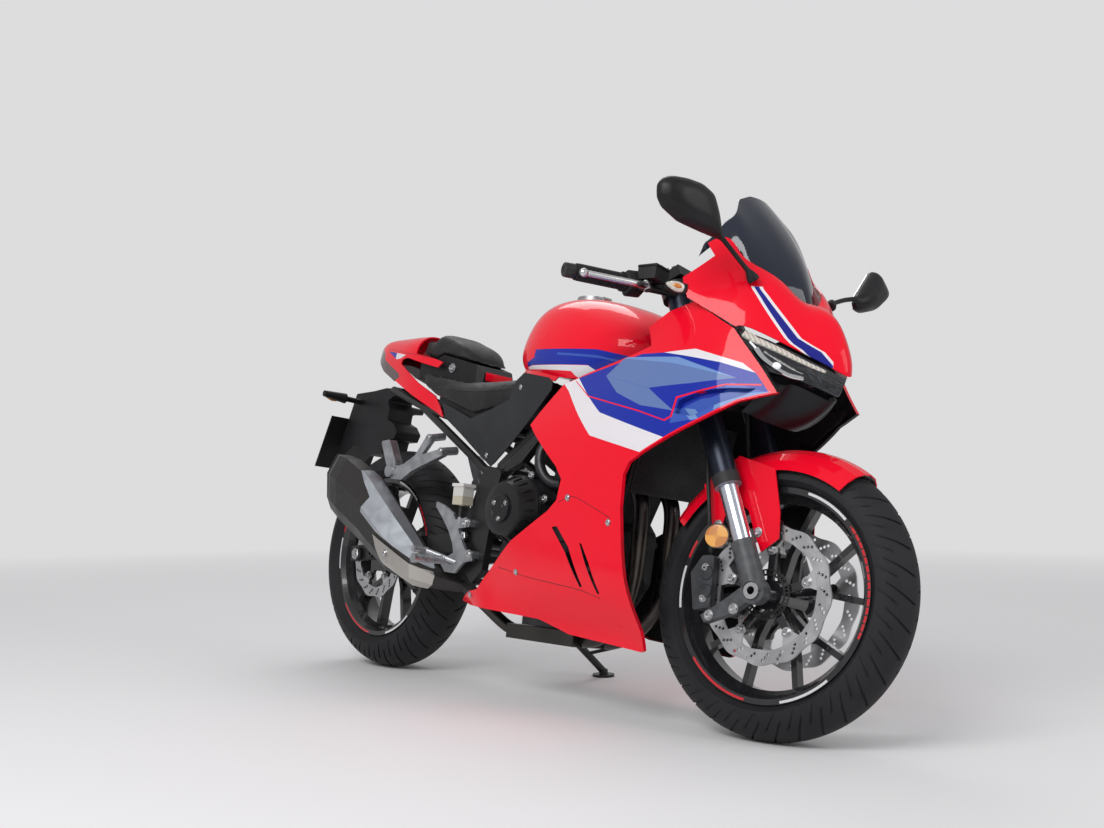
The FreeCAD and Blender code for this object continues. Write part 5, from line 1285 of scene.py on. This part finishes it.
link_count = 2 * round(loop_length / pitch_length / 2)
spots = [on_loop(k * loop_length / link_count) for k in range(link_count)]
inner_places, outer_places = [], []
for k, spot in enumerate(spots):
    step = spots[(k + 1) % link_count] - spot
    way = step.normalized()
    turn = Matrix((way, Vector((0, 1, 0)), way.cross(Vector((0, 1, 0))))).transposed().to_4x4()
    place = leaning @ Matrix.Translation(spot) @ turn @ Matrix.Scale(step.length / pitch_length, 4)
    (inner_places if k % 2 else outer_places).append(place)
inner_run = planted("chain_inner_links", inner_link, inner_places, "chassis", chain_steel,
                    50.0)
planted("chain_outer_links", outer_link, outer_places, "chassis", chain_steel, 50.0)
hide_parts("chain")

# Rear sprocket: a steel plate turned and bolted to the wheel, with forty-one teeth hobbed on
# its rim. The ring of teeth is a piece over the plain drawn disc.
sprocket_steel, _ = turned_metal("sprocket_steel", rear_hub, leaning, (0.20, 0.20, 0.21), 0.30, 0.46)
dress(["rear_sprocket"], sprocket_steel)
tooth_count = 41
rim = []
for k in range(tooth_count):
    for part, radius in ((-0.30, 0.1000), (-0.16, 0.1062), (0.16, 0.1062), (0.30, 0.1000)):
        a = 2 * math.pi * (k + 0.5 + part) / tooth_count
        rim.append((math.cos(a) * radius, math.sin(a) * radius))
n = len(rim)
rim += [(0.0965 * math.cos(2 * math.pi * k / n), 0.0965 * math.sin(2 * math.pi * k / n)) for k in range(n)]
points = [leaning @ (sprocket_big + Vector((x, y, z))) for y in (-0.00306, 0.00306) for x, z in rim]
faces = []
for k in range(n):
    j = (k + 1) % n
    faces += [(k, j, n + j, n + k), (2 * n + k, 3 * n + k, 3 * n + j, 2 * n + j),
              (k, 2 * n + k, 2 * n + j, j), (n + k, n + j, 3 * n + j, 3 * n + k)]
inked("sprocket_teeth", points, faces, sprocket_steel, "rear_wheel_assembly")

# Handlebars: black steel bars with ribbed rubber grips, steel end weights, cast levers
# polished bright, and moulded switch boxes. Everything here turns with the steering.
def turned(name, matrix, start, way, profile, finish, body, sides=24, angle=35.0):
    # A shape of revolution: (distance along the axis, radius) pairs in millimetres
    axis = Vector(way).normalized()
    across = axis.orthogonal().normalized()
    third = axis.cross(across)
    points = []
    for distance, radius in profile:
        for k in range(sides):
            a = 2 * math.pi * k / sides
            p = Vector(start) + axis * distance + (across * math.cos(a) + third * math.sin(a)) * radius
            points.append(matrix @ (p * 0.001))
    faces = skin(len(profile), sides, profile[0] != profile[-1])
    piece = inked(name, points, faces, finish, body)
    rounded(piece, angle)
    return piece


up = Vector((-math.sin(rake), 0, math.cos(rake)))
fore = Vector((math.cos(rake), 0, math.sin(rake)))
lever_way = fore * 0.8 - up * 0.6


def fork_point(along, lead, y):
    # Up the fork from the hub and ahead of it, in millimetres
    p = front_hub * 1000 + up * along + fore * lead
    return Vector((p.x, y, p.z))


def bar_line(side):
    # Where a bar leaves its clamp, its direction and its length to the end of the grip
    start = fork_point(709, -6, side * 127)
    run = Vector((300.0, side * 356.0, 918.0)) - start
    return start, run.normalized(), run.length


def wire_along(name, route, radius, matrix, finish, body):
    # A round cable or wire on a smooth path through places in the upright frame
    curve = bpy.data.curves.new(name, "CURVE")
    curve.dimensions = "3D"
    strand = curve.splines.new("NURBS")
    strand.points.add(len(route) - 1)
    for point, p in zip(strand.points, route):
        point.co = (*(matrix @ (p * 0.001)), 1.0)
    strand.order_u = 3
    strand.use_endpoint_u = True
    curve.bevel_depth = radius * 0.001
    curve.bevel_resolution = 3
    curve.use_fill_caps = True
    piece = bpy.data.objects.new(name, curve)
    bpy.context.scene.collection.objects.link(piece)
    pick(piece)
    bpy.ops.object.convert(target="MESH")
    piece.data.materials.append(finish.material)
    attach(piece, body)


grip_rubber = moulded("grip_rubber", (0.008, 0.008, 0.009), (0.016, 0.016, 0.017), 0.62, 1200.0, 0.2)
lever_alloy = Finish("lever_alloy", (0.62, 0.62, 0.63), 0.24, 1.0)
lever_alloy.worn(60.0, 0.26, 0.36, 3.0)
switch_moulding = moulded("switch_moulding", (0.009, 0.009, 0.010), (0.016, 0.016, 0.018), 0.44)
red_button = Finish("red_button", (0.60, 0.012, 0.012), 0.36)
red_button.worn(90.0, 0.30, 0.46)


def bevelled_box(name, size, bevel=0.003, segments=3):
    # A rounded box about zero, in metres
    bpy.ops.object.select_all(action="DESELECT")
    bpy.ops.mesh.primitive_cube_add(size=1.0)
    piece = bpy.context.object
    piece.name = name
    piece.scale = size
    bpy.ops.object.transform_apply(scale=True)
    changed(piece, "BEVEL", width=bevel, segments=segments)
    patterns.append(piece)
    return piece


def framed(matrix, spot, x_way, z_way):
    # A place whose x and z axes are given in the upright frame
    z_axis = Vector(z_way).normalized()
    x_axis = (Vector(x_way) - z_axis * Vector(x_way).dot(z_axis)).normalized()
    turn = Matrix((x_axis, z_axis.cross(x_axis), z_axis)).transposed().to_4x4()
    return matrix @ Matrix.Translation(Vector(spot) * 0.001) @ turn


switch_box = bevelled_box("switch_box", (0.044, 0.042, 0.046), 0.007)
button_block = bevelled_box("button_block", (0.012, 0.016, 0.006), 0.002)
lid_slab = bevelled_box("lid_slab", (0.052, 0.052, 0.007), 0.003)
for side, end in both_sides:
    start, way, length = bar_line(side)
    ribs = [(length - 130, 17.0), (length - 129, 21.5), (length - 125, 21.5), (length - 124, 17.4)]
    for k in range(15):
        d = length - 121 + k * 7.0
        ribs += [(d, 17.3), (d + 0.8, 18.5), (d + 4.6, 18.5), (d + 5.4, 17.3)]
    ribs += [(length - 13, 18.2), (length - 11.5, 17.0)]
    turned("grip_" + end, steered, start, way, ribs, grip_rubber, "steering", 32, 30.0)
    weight = [(-11, 15.2), (-10, 15.8), (11, 15.8), (15, 13.6), (15.2, 6.0), (12, 5.0)]
    turned("bar_weight_" + end, steered, start + way * length, way, weight, bar_black, "steering")
    perch = start + way * (length - 158)
    path = [perch + lever_way * ahead_of + way * d
            for ahead_of, d in ((38, 2), (42, 6), (60, 40), (57, 90), (54, 130), (52, 168))]
    swept("lever_" + end, trail(steered, path, lever_way, (0.0145, 0.0128), 2), round_bead, lever_alloy,
          "steering", "cast_alloy", 60.0)
    turned("lever_ball_" + end, steered, perch + lever_way * 52 + way * 158, way,
           [(0, 4.0), (3, 7.4), (7, 9.0), (11, 9.2), (15, 7.8), (18.5, 4.0)], lever_alloy, "steering")
    turned("lever_pivot_" + end, steered, perch + lever_way * 40 + way * 4 - up * 11, up,
           [(0, 8.0), (1, 9.0), (20, 9.0), (21, 8.0), (21.2, 4.0), (24, 4.0)], bolt_steel, "steering")
    box_spot = start + way * (length - 154)
    planted("switch_box_" + end, switch_box, [framed(steered, box_spot, way, up)], "steering",
            switch_moulding)
    tops = [framed(steered, box_spot - lever_way * 22 + way * d + up * h, way, -lever_way)
            for d, h in ((-8, -8), (9, -8))]
    planted("switch_buttons_" + end, button_block, tops, "steering", grip_rubber)
    planted("switch_toggle_" + end, button_block,
            [framed(steered, box_spot - lever_way * 22 + up * 11, way, -lever_way)],
            "steering", red_button if side < 0 else grip_rubber)
    # Cables from the switch box to the steering head
    for k, (lift, sway) in enumerate(((16, 30), (4, 44))):
        route = [box_spot + lever_way * 16 - way * 10,
                 box_spot + lever_way * (16 + sway * 0.3) - way * 40 + up * (lift - 8),
                 fork_point(686 - lift, 26 - k * 6, side * 82), fork_point(654 - k * 12, 30, side * 62),
                 fork_point(620 - k * 20, 18, side * 52), fork_point(560, 2, side * 47)]
        wire_along("bar_cable_%s_%d" % (end, k + 1), route, 2.8 - 0.4 * k, steered, hose_rubber, "steering")
    # Fork caps with their adjuster screws
    turned("fork_cap_" + end, steered, fork_point(770.0, 0, side * 105), up,
           [(0, 14.2), (0.4, 14.4), (1.4, 13.6), (1.5, 6.0), (3.0, 5.6), (3.0, 2.4), (1.6, 2.2)], bolt_steel,
           "steering")
    # Axle clamp bolts, mudguard bolts and caliper bolts
    bolt_places = [facing_way(steered, fork_point(-20, -52, side * 117.2), (0, side, 0)),
                   facing_way(steered, fork_point(-12, -112, side * 117.2), (0, side, 0))]
    planted("fork_foot_bolts_" + end, cover_bolt, bolt_places, "steering", bolt_steel)
    planted("mudguard_bolts_" + end, cover_bolt,
            [facing_way(steered, (671, side * 73.3, 425), (0, side, 0), 0.9),
             facing_way(steered, (571, side * 73.3, 436), (0, side, 0), 0.9)],
            "steering", bolt_steel)
    planted("caliper_bolts_" + end, cover_bolt,
            [facing_way(steered, fork_point(a, l, side * 82.6), (0, side, 0), s)
             for a, l, s in ((40, -136, 0.8), (100, -112, 0.8))],
            "steering", bolt_steel)
    for a, l in ((52, -118), (88, -104)):
        turned("caliper_piston_%s_%d" % (end, a), steered, fork_point(a, l - 8, side * 82.2), (0, side, 0),
               [(0, 15.0), (3.0, 14.6), (5.0, 12.0), (5.2, 7.0), (4.0, 6.4)], caliper_grey, "steering")

# Brake fluid cup: a moulded plastic box on the right bar's master cylinder, closed by a lid
# with two screws.
start, way, length = bar_line(-1)
cup_spot = start + way * (length - 158) + lever_way * 30 - way * 16 + Vector((0, 0, 12))
planted("fluid_cup_lid", lid_slab, [framed(steered, cup_spot + Vector((0, 0, 29)), (1, 0, 0), (0, 0, 1))],
        "steering", switch_moulding)
planted("fluid_cup_screws", panel_bolt,
        [facing_way(steered, cup_spot + Vector((x, 0, 32.4)), (0, 0, 1), 0.7) for x in (-17, 17)],
        "steering", bolt_steel)

# Wheel speed ring: a pressed steel ring with forty slots, screwed to the right of the front
# hub and turning with it. The axle's ends show as turned sockets in the fork's feet.
ring_steel = coated("sensor_ring_black", (0.03, 0.03, 0.032), (0.06, 0.06, 0.063), 0.34, 0.5, 500.0, 0.6)
for name, low_r, high_r in (("sensor_ring_inner", 39.0, 43.0), ("sensor_ring_outer", 50.0, 53.0)):
    turned(name, steered, (705, -61.4, 299.9), (0, 1, 0),
           [(0, low_r), (0, high_r), (2.0, high_r), (2.0, low_r), (0, low_r)],
           ring_steel, "front_wheel_assembly", 60)
tooth = bevelled_box("ring_tooth", (0.0086, 0.0030, 0.0018), 0.0003, 1)
slots = []
for k in range(40):
    a = 2 * math.pi * k / 40
    out = Vector((math.cos(a), 0, math.sin(a)))
    slots.append(framed(steered, Vector((705, -60.4, 299.9)) + out * 46.5, out, (0, -1, 0)))
planted("sensor_ring_teeth", tooth, slots, "front_wheel_assembly", ring_steel)
for side, end in both_sides:
    turned("axle_socket_" + end, steered, (705, side * 119.2, 299.9), (0, side, 0),
           [(0, 8.3), (0, 17.6), (5.6, 17.6), (6.4, 16.6), (6.4, 9.6), (1.0, 8.3), (0, 8.3)], axle_steel,
           "steering", 24)

# Mirrors: smooth moulded heads, each a remeshed and softened copy of the drawn solid, with
# a silvered glass set into the rear face.
glass_silver = Finish("mirror_glass", (0.80, 0.82, 0.84), 0.03, 1.0)
glass_silver.worn(20.0, 0.02, 0.05)
for side, end in both_sides:
    head = merged_copy("mirror_shell_" + end, "mirror_" + end, 0.00005)
    changed(head, "REMESH", mode="VOXEL", voxel_size=0.0022)
    changed(head, "SMOOTH", factor=0.6, iterations=60)
    bpy.ops.object.shade_smooth()
    head.data.materials.append(mirror_shell.material)
    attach(head, "chassis")
    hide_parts("mirror_" + end)
mirror_outlines = {
    "right": [(75, 30), (66, 44), (50, 52), (12, 55), (-25, 52), (-58, 36), (-75, 0), (-88, -44), (-80, -50),
              (-34, -44), (19, -35), (60, -14), (73, 4)],
    "left": [(-8, 12), (0, 17), (10, 14), (50, -2), (78, -17), (80, -24), (60, -42), (8, -76), (-50, -94),
             (-76, -94), (-86, -80), (-80, -62), (-61, -43)]}
toe = math.radians(14)
for side, end, middle in ((-1, "right", Vector((624, -305, 1052))), (1, "left", Vector((624, 312, 1052)))):
    outline = mirror_outlines[end]
    facing = Vector((math.cos(toe), side * math.sin(toe), 0))
    out = Vector((-side * math.sin(toe), math.cos(toe), 0)) * side
    mid_u = sum(u for u, v in outline) / len(outline)
    mid_v = sum(v for u, v in outline) / len(outline)
    points = []
    for depth, grow in ((-9.0, 0.90), (-10.6, 0.89), (-10.9, 0.86)):
        for u, v in outline:
            sideways, upwards = mid_u + (u - mid_u) * grow, mid_v + (v - mid_v) * grow
            p = middle + facing * depth + out * sideways + Vector((0, 0, upwards))
            points.append(leaning @ (p * 0.001))
    inked("mirror_glass_" + end, points, skin(3, len(outline)), glass_silver, "chassis")

# Instruments: a hooded black housing with a tilted liquid-crystal display, blank but for a
# row of bars, and two keys under it. It stands where the plain block was drawn.
display_black = Finish("display_glass", (0.010, 0.012, 0.014), 0.06, coat_weight=0.8, coat_roughness=0.02)
_, dy, dz = display_black.split(display_black.place(leaning))
tacho = dz.step(1.0065, 1.0068) * dz.step(1.0125, 1.0128, 1.0, 0.0)
tacho = tacho * (dy * 900.0).sine().step(-0.2, 0.1) * dy.size().step(0.062, 0.0622, 1.0, 0.0)
display_black.feed("Base Color", between(tacho, (0.010, 0.012, 0.014), (0.16, 0.18, 0.18)))
face_up = Vector((0.53, 0, 0.848))
face_out = Vector((-0.848, 0, 0.53))
centre = Vector((514, 0, 985))
rim_points = 32
points = []
for depth, grow_y, grow_z in ((0.0, 0.94, 0.90), (-3.0, 1.0, 1.0), (-16.0, 1.0, 1.0), (-24.0, 0.86, 0.80)):
    for k in range(rim_points):
        a = 2 * math.pi * k / rim_points
        c, s = math.cos(a), math.sin(a)
        u = 90 * grow_y * math.copysign(abs(c) ** 0.36, c)
        v = 42 * grow_z * math.copysign(abs(s) ** 0.36, s) * (1.0 - 0.10 * abs(u) / 90)
        points.append(leaning @ ((centre + face_out * depth + Vector((0, u, 0)) + face_up * v) * 0.001))
case = inked("instrument_housing", points, skin(4, rim_points), black_moulding, "chassis")
rounded(case, 40.0)
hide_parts("instrument_panel")
glass_plate = bevelled_box("glass_plate", (0.140, 0.058, 0.003), 0.0014, 2)
planted("instrument_display", glass_plate,
        [framed(leaning, centre + face_out * 0.6 + face_up * 6, (0, 1, 0), face_out)],
        "chassis", display_black)
keys = [framed(leaning, centre + face_out * 0.6 + face_up * -31 + Vector((0, y, 0)), (0, 1, 0), face_out)
        for y in (-58, 58)]
planted("instrument_keys", button_block, keys, "chassis", grip_rubber)

# Radiator: an aluminium core of thin fins between flat tubes, brazed to a tank at each side
# and painted black. It hangs behind the front wheel, turned forward at its foot.
radiator_black = coated("radiator_black", (0.010, 0.010, 0.011), (0.020, 0.020, 0.021), 0.44, 0.58, 700.0,
                        0.3)
dress(["radiator"], radiator_black)
fin_metal = coated("fin_metal", (0.035, 0.036, 0.038), (0.075, 0.076, 0.080), 0.40, 0.55, 700.0, 0.6)
fin = bevelled_box("radiator_fin", (0.0022, 0.270, 0.0012), 0.0004, 1)
hang = math.radians(14)
fin_turn = Vector((math.cos(hang), 0, -math.sin(hang)))
fin_up = Vector((math.sin(hang), 0, math.cos(hang)))
core_face = Vector((371, 0, 591)) + fin_turn * 16.6
fins = [framed(leaning, core_face + fin_up * (-84 + 4.2 * k), fin_turn, fin_up) for k in range(41)]
planted("radiator_fins", fin, fins, "chassis", fin_metal)
tube_rib = bevelled_box("radiator_tube", (0.0034, 0.0040, 0.176), 0.0008, 1)
tubes = [framed(leaning, core_face + Vector((0, y, 0)), fin_turn, fin_up) for y in (-136, 136)]
planted("radiator_side_tanks", tube_rib, tubes, "chassis", radiator_black)

# Engine covers: die-cast clutch and generator covers held by flanged bolts. The clutch cover
# has a ribbed rim and a raised centre disc; the oil filler cap is a twelve-sided plug.
clutch = Vector((-8, 0, 450))
right, left = (0, -1, 0), (0, 1, 0)
places = [facing_way(leaning, p, right, 0.9)
          for p in around(clutch.x, clutch.z, 91, [20 + 360 / 7 * k for k in range(7)], -136.2)]
places += [facing_way(leaning, p, right, 0.6) for p in around(clutch.x, clutch.z, 26, (30, 150, 270), -202.2)]
places += [facing_way(leaning, p, left, 0.8) for p in around(20, 440, 72, range(0, 360, 45), 156.0)]
places += [facing_way(leaning, (x, -92.4, z), right, 0.9) for x, z in
           ((-110, 330), (-90, 250), (20, 226), (120, 226), (205, 320), (215, 410), (110, 460))]
planted("engine_cover_bolts", cover_bolt, places, "chassis", bolt_steel)
cover_gloss = coated("cover_gloss", (0.010, 0.010, 0.011), (0.018, 0.018, 0.020), 0.24, 0.36, 500.0, 0.3)
turned("clutch_centre_disc", leaning, (clutch.x, -201.6, clutch.z), (0, -1, 0),
       [(0, 34.2), (1.6, 34.2), (2.4, 33.0), (2.4, 28.0), (1.4, 27.0), (1.4, 12.0), (2.2, 11.0), (2.6, 3.0)],
       cover_gloss, "chassis", 40)
turned("clutch_cover_ring", leaning, (clutch.x, -150.2, clutch.z), (0, -1, 0),
       [(0, 84.6), (3.0, 84.6), (5.0, 83.0), (38.0, 67.5), (45.0, 63.8), (46.6, 60.0), (47.2, 35.0)],
       cover_gloss, "chassis", 56, 25.0)
rib = bevelled_box("cover_rib", (0.026, 0.004, 0.004), 0.0012, 2)
ribs = []
for k in range(20):
    a = 2 * math.pi * k / 20
    out = Vector((math.cos(a), 0, math.sin(a)))
    slope = (out * 20.0 + Vector((0, 46.0, 0))).normalized()
    ribs.append(framed(leaning, clutch + out * 75 + Vector((0, -173.5, 0)), slope,
                       (out * 46 + Vector((0, -20, 0)))))
planted("clutch_cover_ribs", rib, ribs, "chassis", cover_gloss)
turned("oil_filler_cap", leaning, (70, -92, 440), (0, -1, 0),
       [(0, 15), (3, 15), (4, 13), (10, 13), (11, 11), (11.2, 4)],
       cover_gloss, "chassis", 12, 20.0)
for side, end in both_sides:
    turned("pivot_nut_" + end, leaning, (-215, side * 144.2, 380), (0, side, 0),
           [(0, 13.6), (6, 13.6), (7, 12.4), (7.2, 7.0), (5.4, 6.6)], bolt_steel, "chassis", 6, 20.0)
    turned("axle_nut_" + end, leaning, (-705, side * 147.2, 311.9), (0, side, 0),
           [(0, 17.0), (5, 17.0), (6, 15.6), (6.2, 9.0), (9.0, 8.6), (9.2, 3.0)], bolt_steel, "chassis",
           6, 20.0)
    hanger_bolts = [facing_way(leaning, (x, side * 160.3, z), (0, side, 0), 1.1)
                    for x, z in ((-192, 414), (-164, 334))]
    hanger_bolts += [facing_way(leaning, (-334, side * 158.3, 597), (0, side, 0), 0.9),
                     facing_way(leaning, (-395, side * 156.3, 634), (0, side, 0), 0.9)]
    planted("hanger_bolts_" + end, cover_bolt, hanger_bolts, "chassis", bolt_steel)
    # Footrest pegs: knurled alloy barrels over the drawn rods
    peg = [(0, 9.4)]
    for k in range(14):
        peg += [(6 + 7 * k, 9.4), (6.6 + 7 * k, 11.0), (10.4 + 7 * k, 11.0), (11.0 + 7 * k, 9.4)]
    turned("footrest_peg_" + end, leaning, (-250, side * 160.4, 316), (0, side * 102, -4),
           peg + [(106, 9.6), (108, 8.0)], hanger_alloy, "chassis", 20, 25.0)

# Rear shock: a black damper body between two eyes, inside a coil spring of grey steel wire.
# It stands where the plain solid was drawn.
low_end, high_end = Vector((-262, 0, 408)), Vector((-205, 0, 640))
shock_way = high_end - low_end
damper = turned("shock_damper", leaning, low_end, shock_way,
                [(0, 8), (2, 13), (22, 13), (26, 21), (36, 29), (44, 29), (46, 20), (150, 20), (152, 12),
                 (180, 12), (182, 29.5),
                 (190, 29.5), (198, 16), (236, 13), (239, 8)], cast_black, "chassis", 32)
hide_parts("rear_shock")
coil_grey = coated("coil_grey", (0.10, 0.10, 0.105), (0.16, 0.16, 0.165), 0.30, 0.44, 300.0, 0.2)
axis = shock_way.normalized()
across = axis.orthogonal().normalized()
third = axis.cross(across)
turns, per_turn, coil_radius, coil_length = 7, 14, 25.4, 130
route = []
for k in range(turns * per_turn + 1):
    a = 2 * math.pi * k / per_turn
    out = across * math.cos(a) + third * math.sin(a)
    route.append(low_end + axis * (48 + coil_length * k / (turns * per_turn)) + out * coil_radius)
wire_along("shock_spring", route, 4.8, leaning, coil_grey, "chassis")

# Number plate: a blank pressed aluminium plate, pale on its face and black behind, held to
# the rear mudguard by two bolts.
plate_low, plate_high = Vector((-1071, 0, 570)), Vector((-1000, 0, 722))
plate_up = (plate_high - plate_low).normalized()
plate_out = Vector((-plate_up.z, 0, plate_up.x))
plate_white = Finish("plate_white", (0.68, 0.68, 0.66), 0.36)
plate_white.feed("Base Color",
                 plate_white.mottled(12.0, 0.4, 0.75, (0.70, 0.70, 0.68), (0.58, 0.58, 0.56), 3.0))
plate_white.grain(500.0, 0.05, 0.0005)
dress(["number_plate"], black_moulding)
plate_face = bevelled_box("plate_face", (0.184, 0.160, 0.0012), 0.0005, 1)
middle = (plate_low + plate_high) / 2
planted("number_plate_face", plate_face, [framed(leaning, middle + plate_out * 3.6, (0, 1, 0), plate_out)],
        "chassis", plate_white)
plate_bolts = [facing_way(leaning, middle + plate_up * 58 + plate_out * 4.2 + Vector((0, y, 0)), plate_out,
                          0.8)
               for y in (-34, 34)]
planted("number_plate_bolts", panel_bolt, plate_bolts, "chassis", bolt_steel)

# Muffler fittings: a dark outlet pipe welded into the end cap, and flanged bolts through
# the two shields.
outlet_black = coated("outlet_black", (0.012, 0.012, 0.012), (0.03, 0.028, 0.026), 0.4, 0.6, 300.0, 0.5)
turned("muffler_outlet", leaning, (-756, -194, 512), (-1, -0.02, 0.12),
       [(0, 20), (9, 24), (12, 25), (12, 22), (2, 20.5), (-14, 20.0)], outlet_black, "chassis",
       32)
found = [side_spot("muffler_shield_" + part, x, z, -1, 0.0) for part, x, z in
         (("upper", -600, 545), ("upper", -330, 330), ("lower", -430, 318), ("lower", -280, 250))]
planted("shield_bolts", cover_bolt, [facing_way(leaning, *f, 0.9) for f in found if f], "chassis",
        bolt_steel)

# Filler cap fittings: a turned ring with seven screws round a cast lock flap, all on the
# hinged lid.
turned("filler_cap_ring", leaning, (30, 0, 991.6), (0, 0, 1),
       [(0, 30), (0, 41.4), (1.6, 41.0), (2.4, 39.6), (2.4, 31.4), (1.2, 30), (0, 30)], cap_metal,
       "fuel_cap_lid", 56)
flap = bevelled_box("lock_flap", (0.030, 0.015, 0.004), 0.0016, 3)
planted("filler_lock_flap", flap, [framed(leaning, (24, 0, 993.2), (1, 0, 0), (0, 0, 1))], "fuel_cap_lid",
        hanger_alloy)
cap_angles = [math.radians(25 + 51.43 * k) for k in range(7)]
cap_screws = [facing_way(leaning, (30 + 35.5 * math.cos(a), 35.5 * math.sin(a), 993.6), (0, 0, 1), 0.48)
              for a in cap_angles]
planted("filler_cap_screws", panel_bolt, cap_screws, "fuel_cap_lid", bolt_steel)

# Tail fittings: the pillion seat's lock barrel in the side of its base, and a painted strip
# across the front of that base.
lock = side_spot("seat_base", -430, 836, -1)
if lock:
    planted("seat_lock", cover_bolt, [facing_way(leaning, lock[0], lock[1], 1.1)], "chassis",
            bolt_steel)
strip_red = painted("strip_red", leaning)[0]
red_strip = bevelled_box("base_strip", (0.0030, 0.088, 0.022), 0.0012, 2)
planted("seat_base_strip", red_strip, [framed(leaning, (-322.6, 0, 813), (1, 0, 0), (0, 0, 1))], "chassis",
        strip_red)

# Fairing joints: fine dark gaps where one moulded panel laps the next, along both sides of
# the machine.
gap_black = Finish("gap_black", (0.010, 0.004, 0.005), 0.6)
gap_black.worn(60.0, 0.5, 0.7)
for side, end in both_sides:
    for k, seam in enumerate(([(173, 450), (215, 466), (263, 484), (312, 466), (361, 448), (395, 434),
                               (429, 421)],
                              [(-31, 309), (20, 303), (82, 293), (150, 287), (220, 281), (294, 275),
                               (362, 260)])):
        found = [side_spot("fairing_" + end, x, z, side, 0.25) for x, z in seam]
        spots = [f[0] for f in found if f]
        if len(spots) > 2:
            swept("fairing_joint_%s_%d" % (end, k + 1), trail(leaning, spots, (0, side, 0), 0.0012, 2),
                  flat_bar, gap_black, "chassis", "dark_plastic", 0.0)

# Tank skirt and seat pan: a red lip that carries the tank down to the side cover, and the
# seat pan's black edge behind the joint between the seat and the cover.
tank_lip = [((-98, 124, 722), (-118, 72, 818)), ((-72, 127, 764), (-92, 94, 814)),
            ((-36, 131, 782), (-36, 118, 802)),
            ((30, 138, 771), (36, 133, 789)), ((80, 144, 762), (92, 138, 778))]
pan_edge = [((-112, 100, 706), (-112, 94, 752)), ((-189, 104, 694), (-189, 98, 736)),
            ((-271, 106, 678), (-271, 102, 722)),
            ((-364, 106, 710), (-364, 102, 752)), ((-440, 104, 736), (-440, 100, 778))]
for side, end in both_sides:
    for name, rows, finish, slot in (("tank_skirt_", tank_lip, strip_red, "red_paint"),
                                     ("seat_pan_edge_", pan_edge, black_moulding, "dark_plastic")):
        points = []
        for low, high in rows:
            low, high = (Vector((x, side * y, z)) for x, y, z in (low, high))
            thick = Vector((0, -side * 2.5, -1.0))
            points += [leaning @ (p * 0.001) for p in (low, high, high + thick, low + thick)]
        rounded(inked(name + end, points, skin(len(rows), 4), finish, "chassis"))

# The patterns that bolts, links and lenses were copied from are put away.
for pattern in patterns:
    bpy.data.objects.remove(pattern)
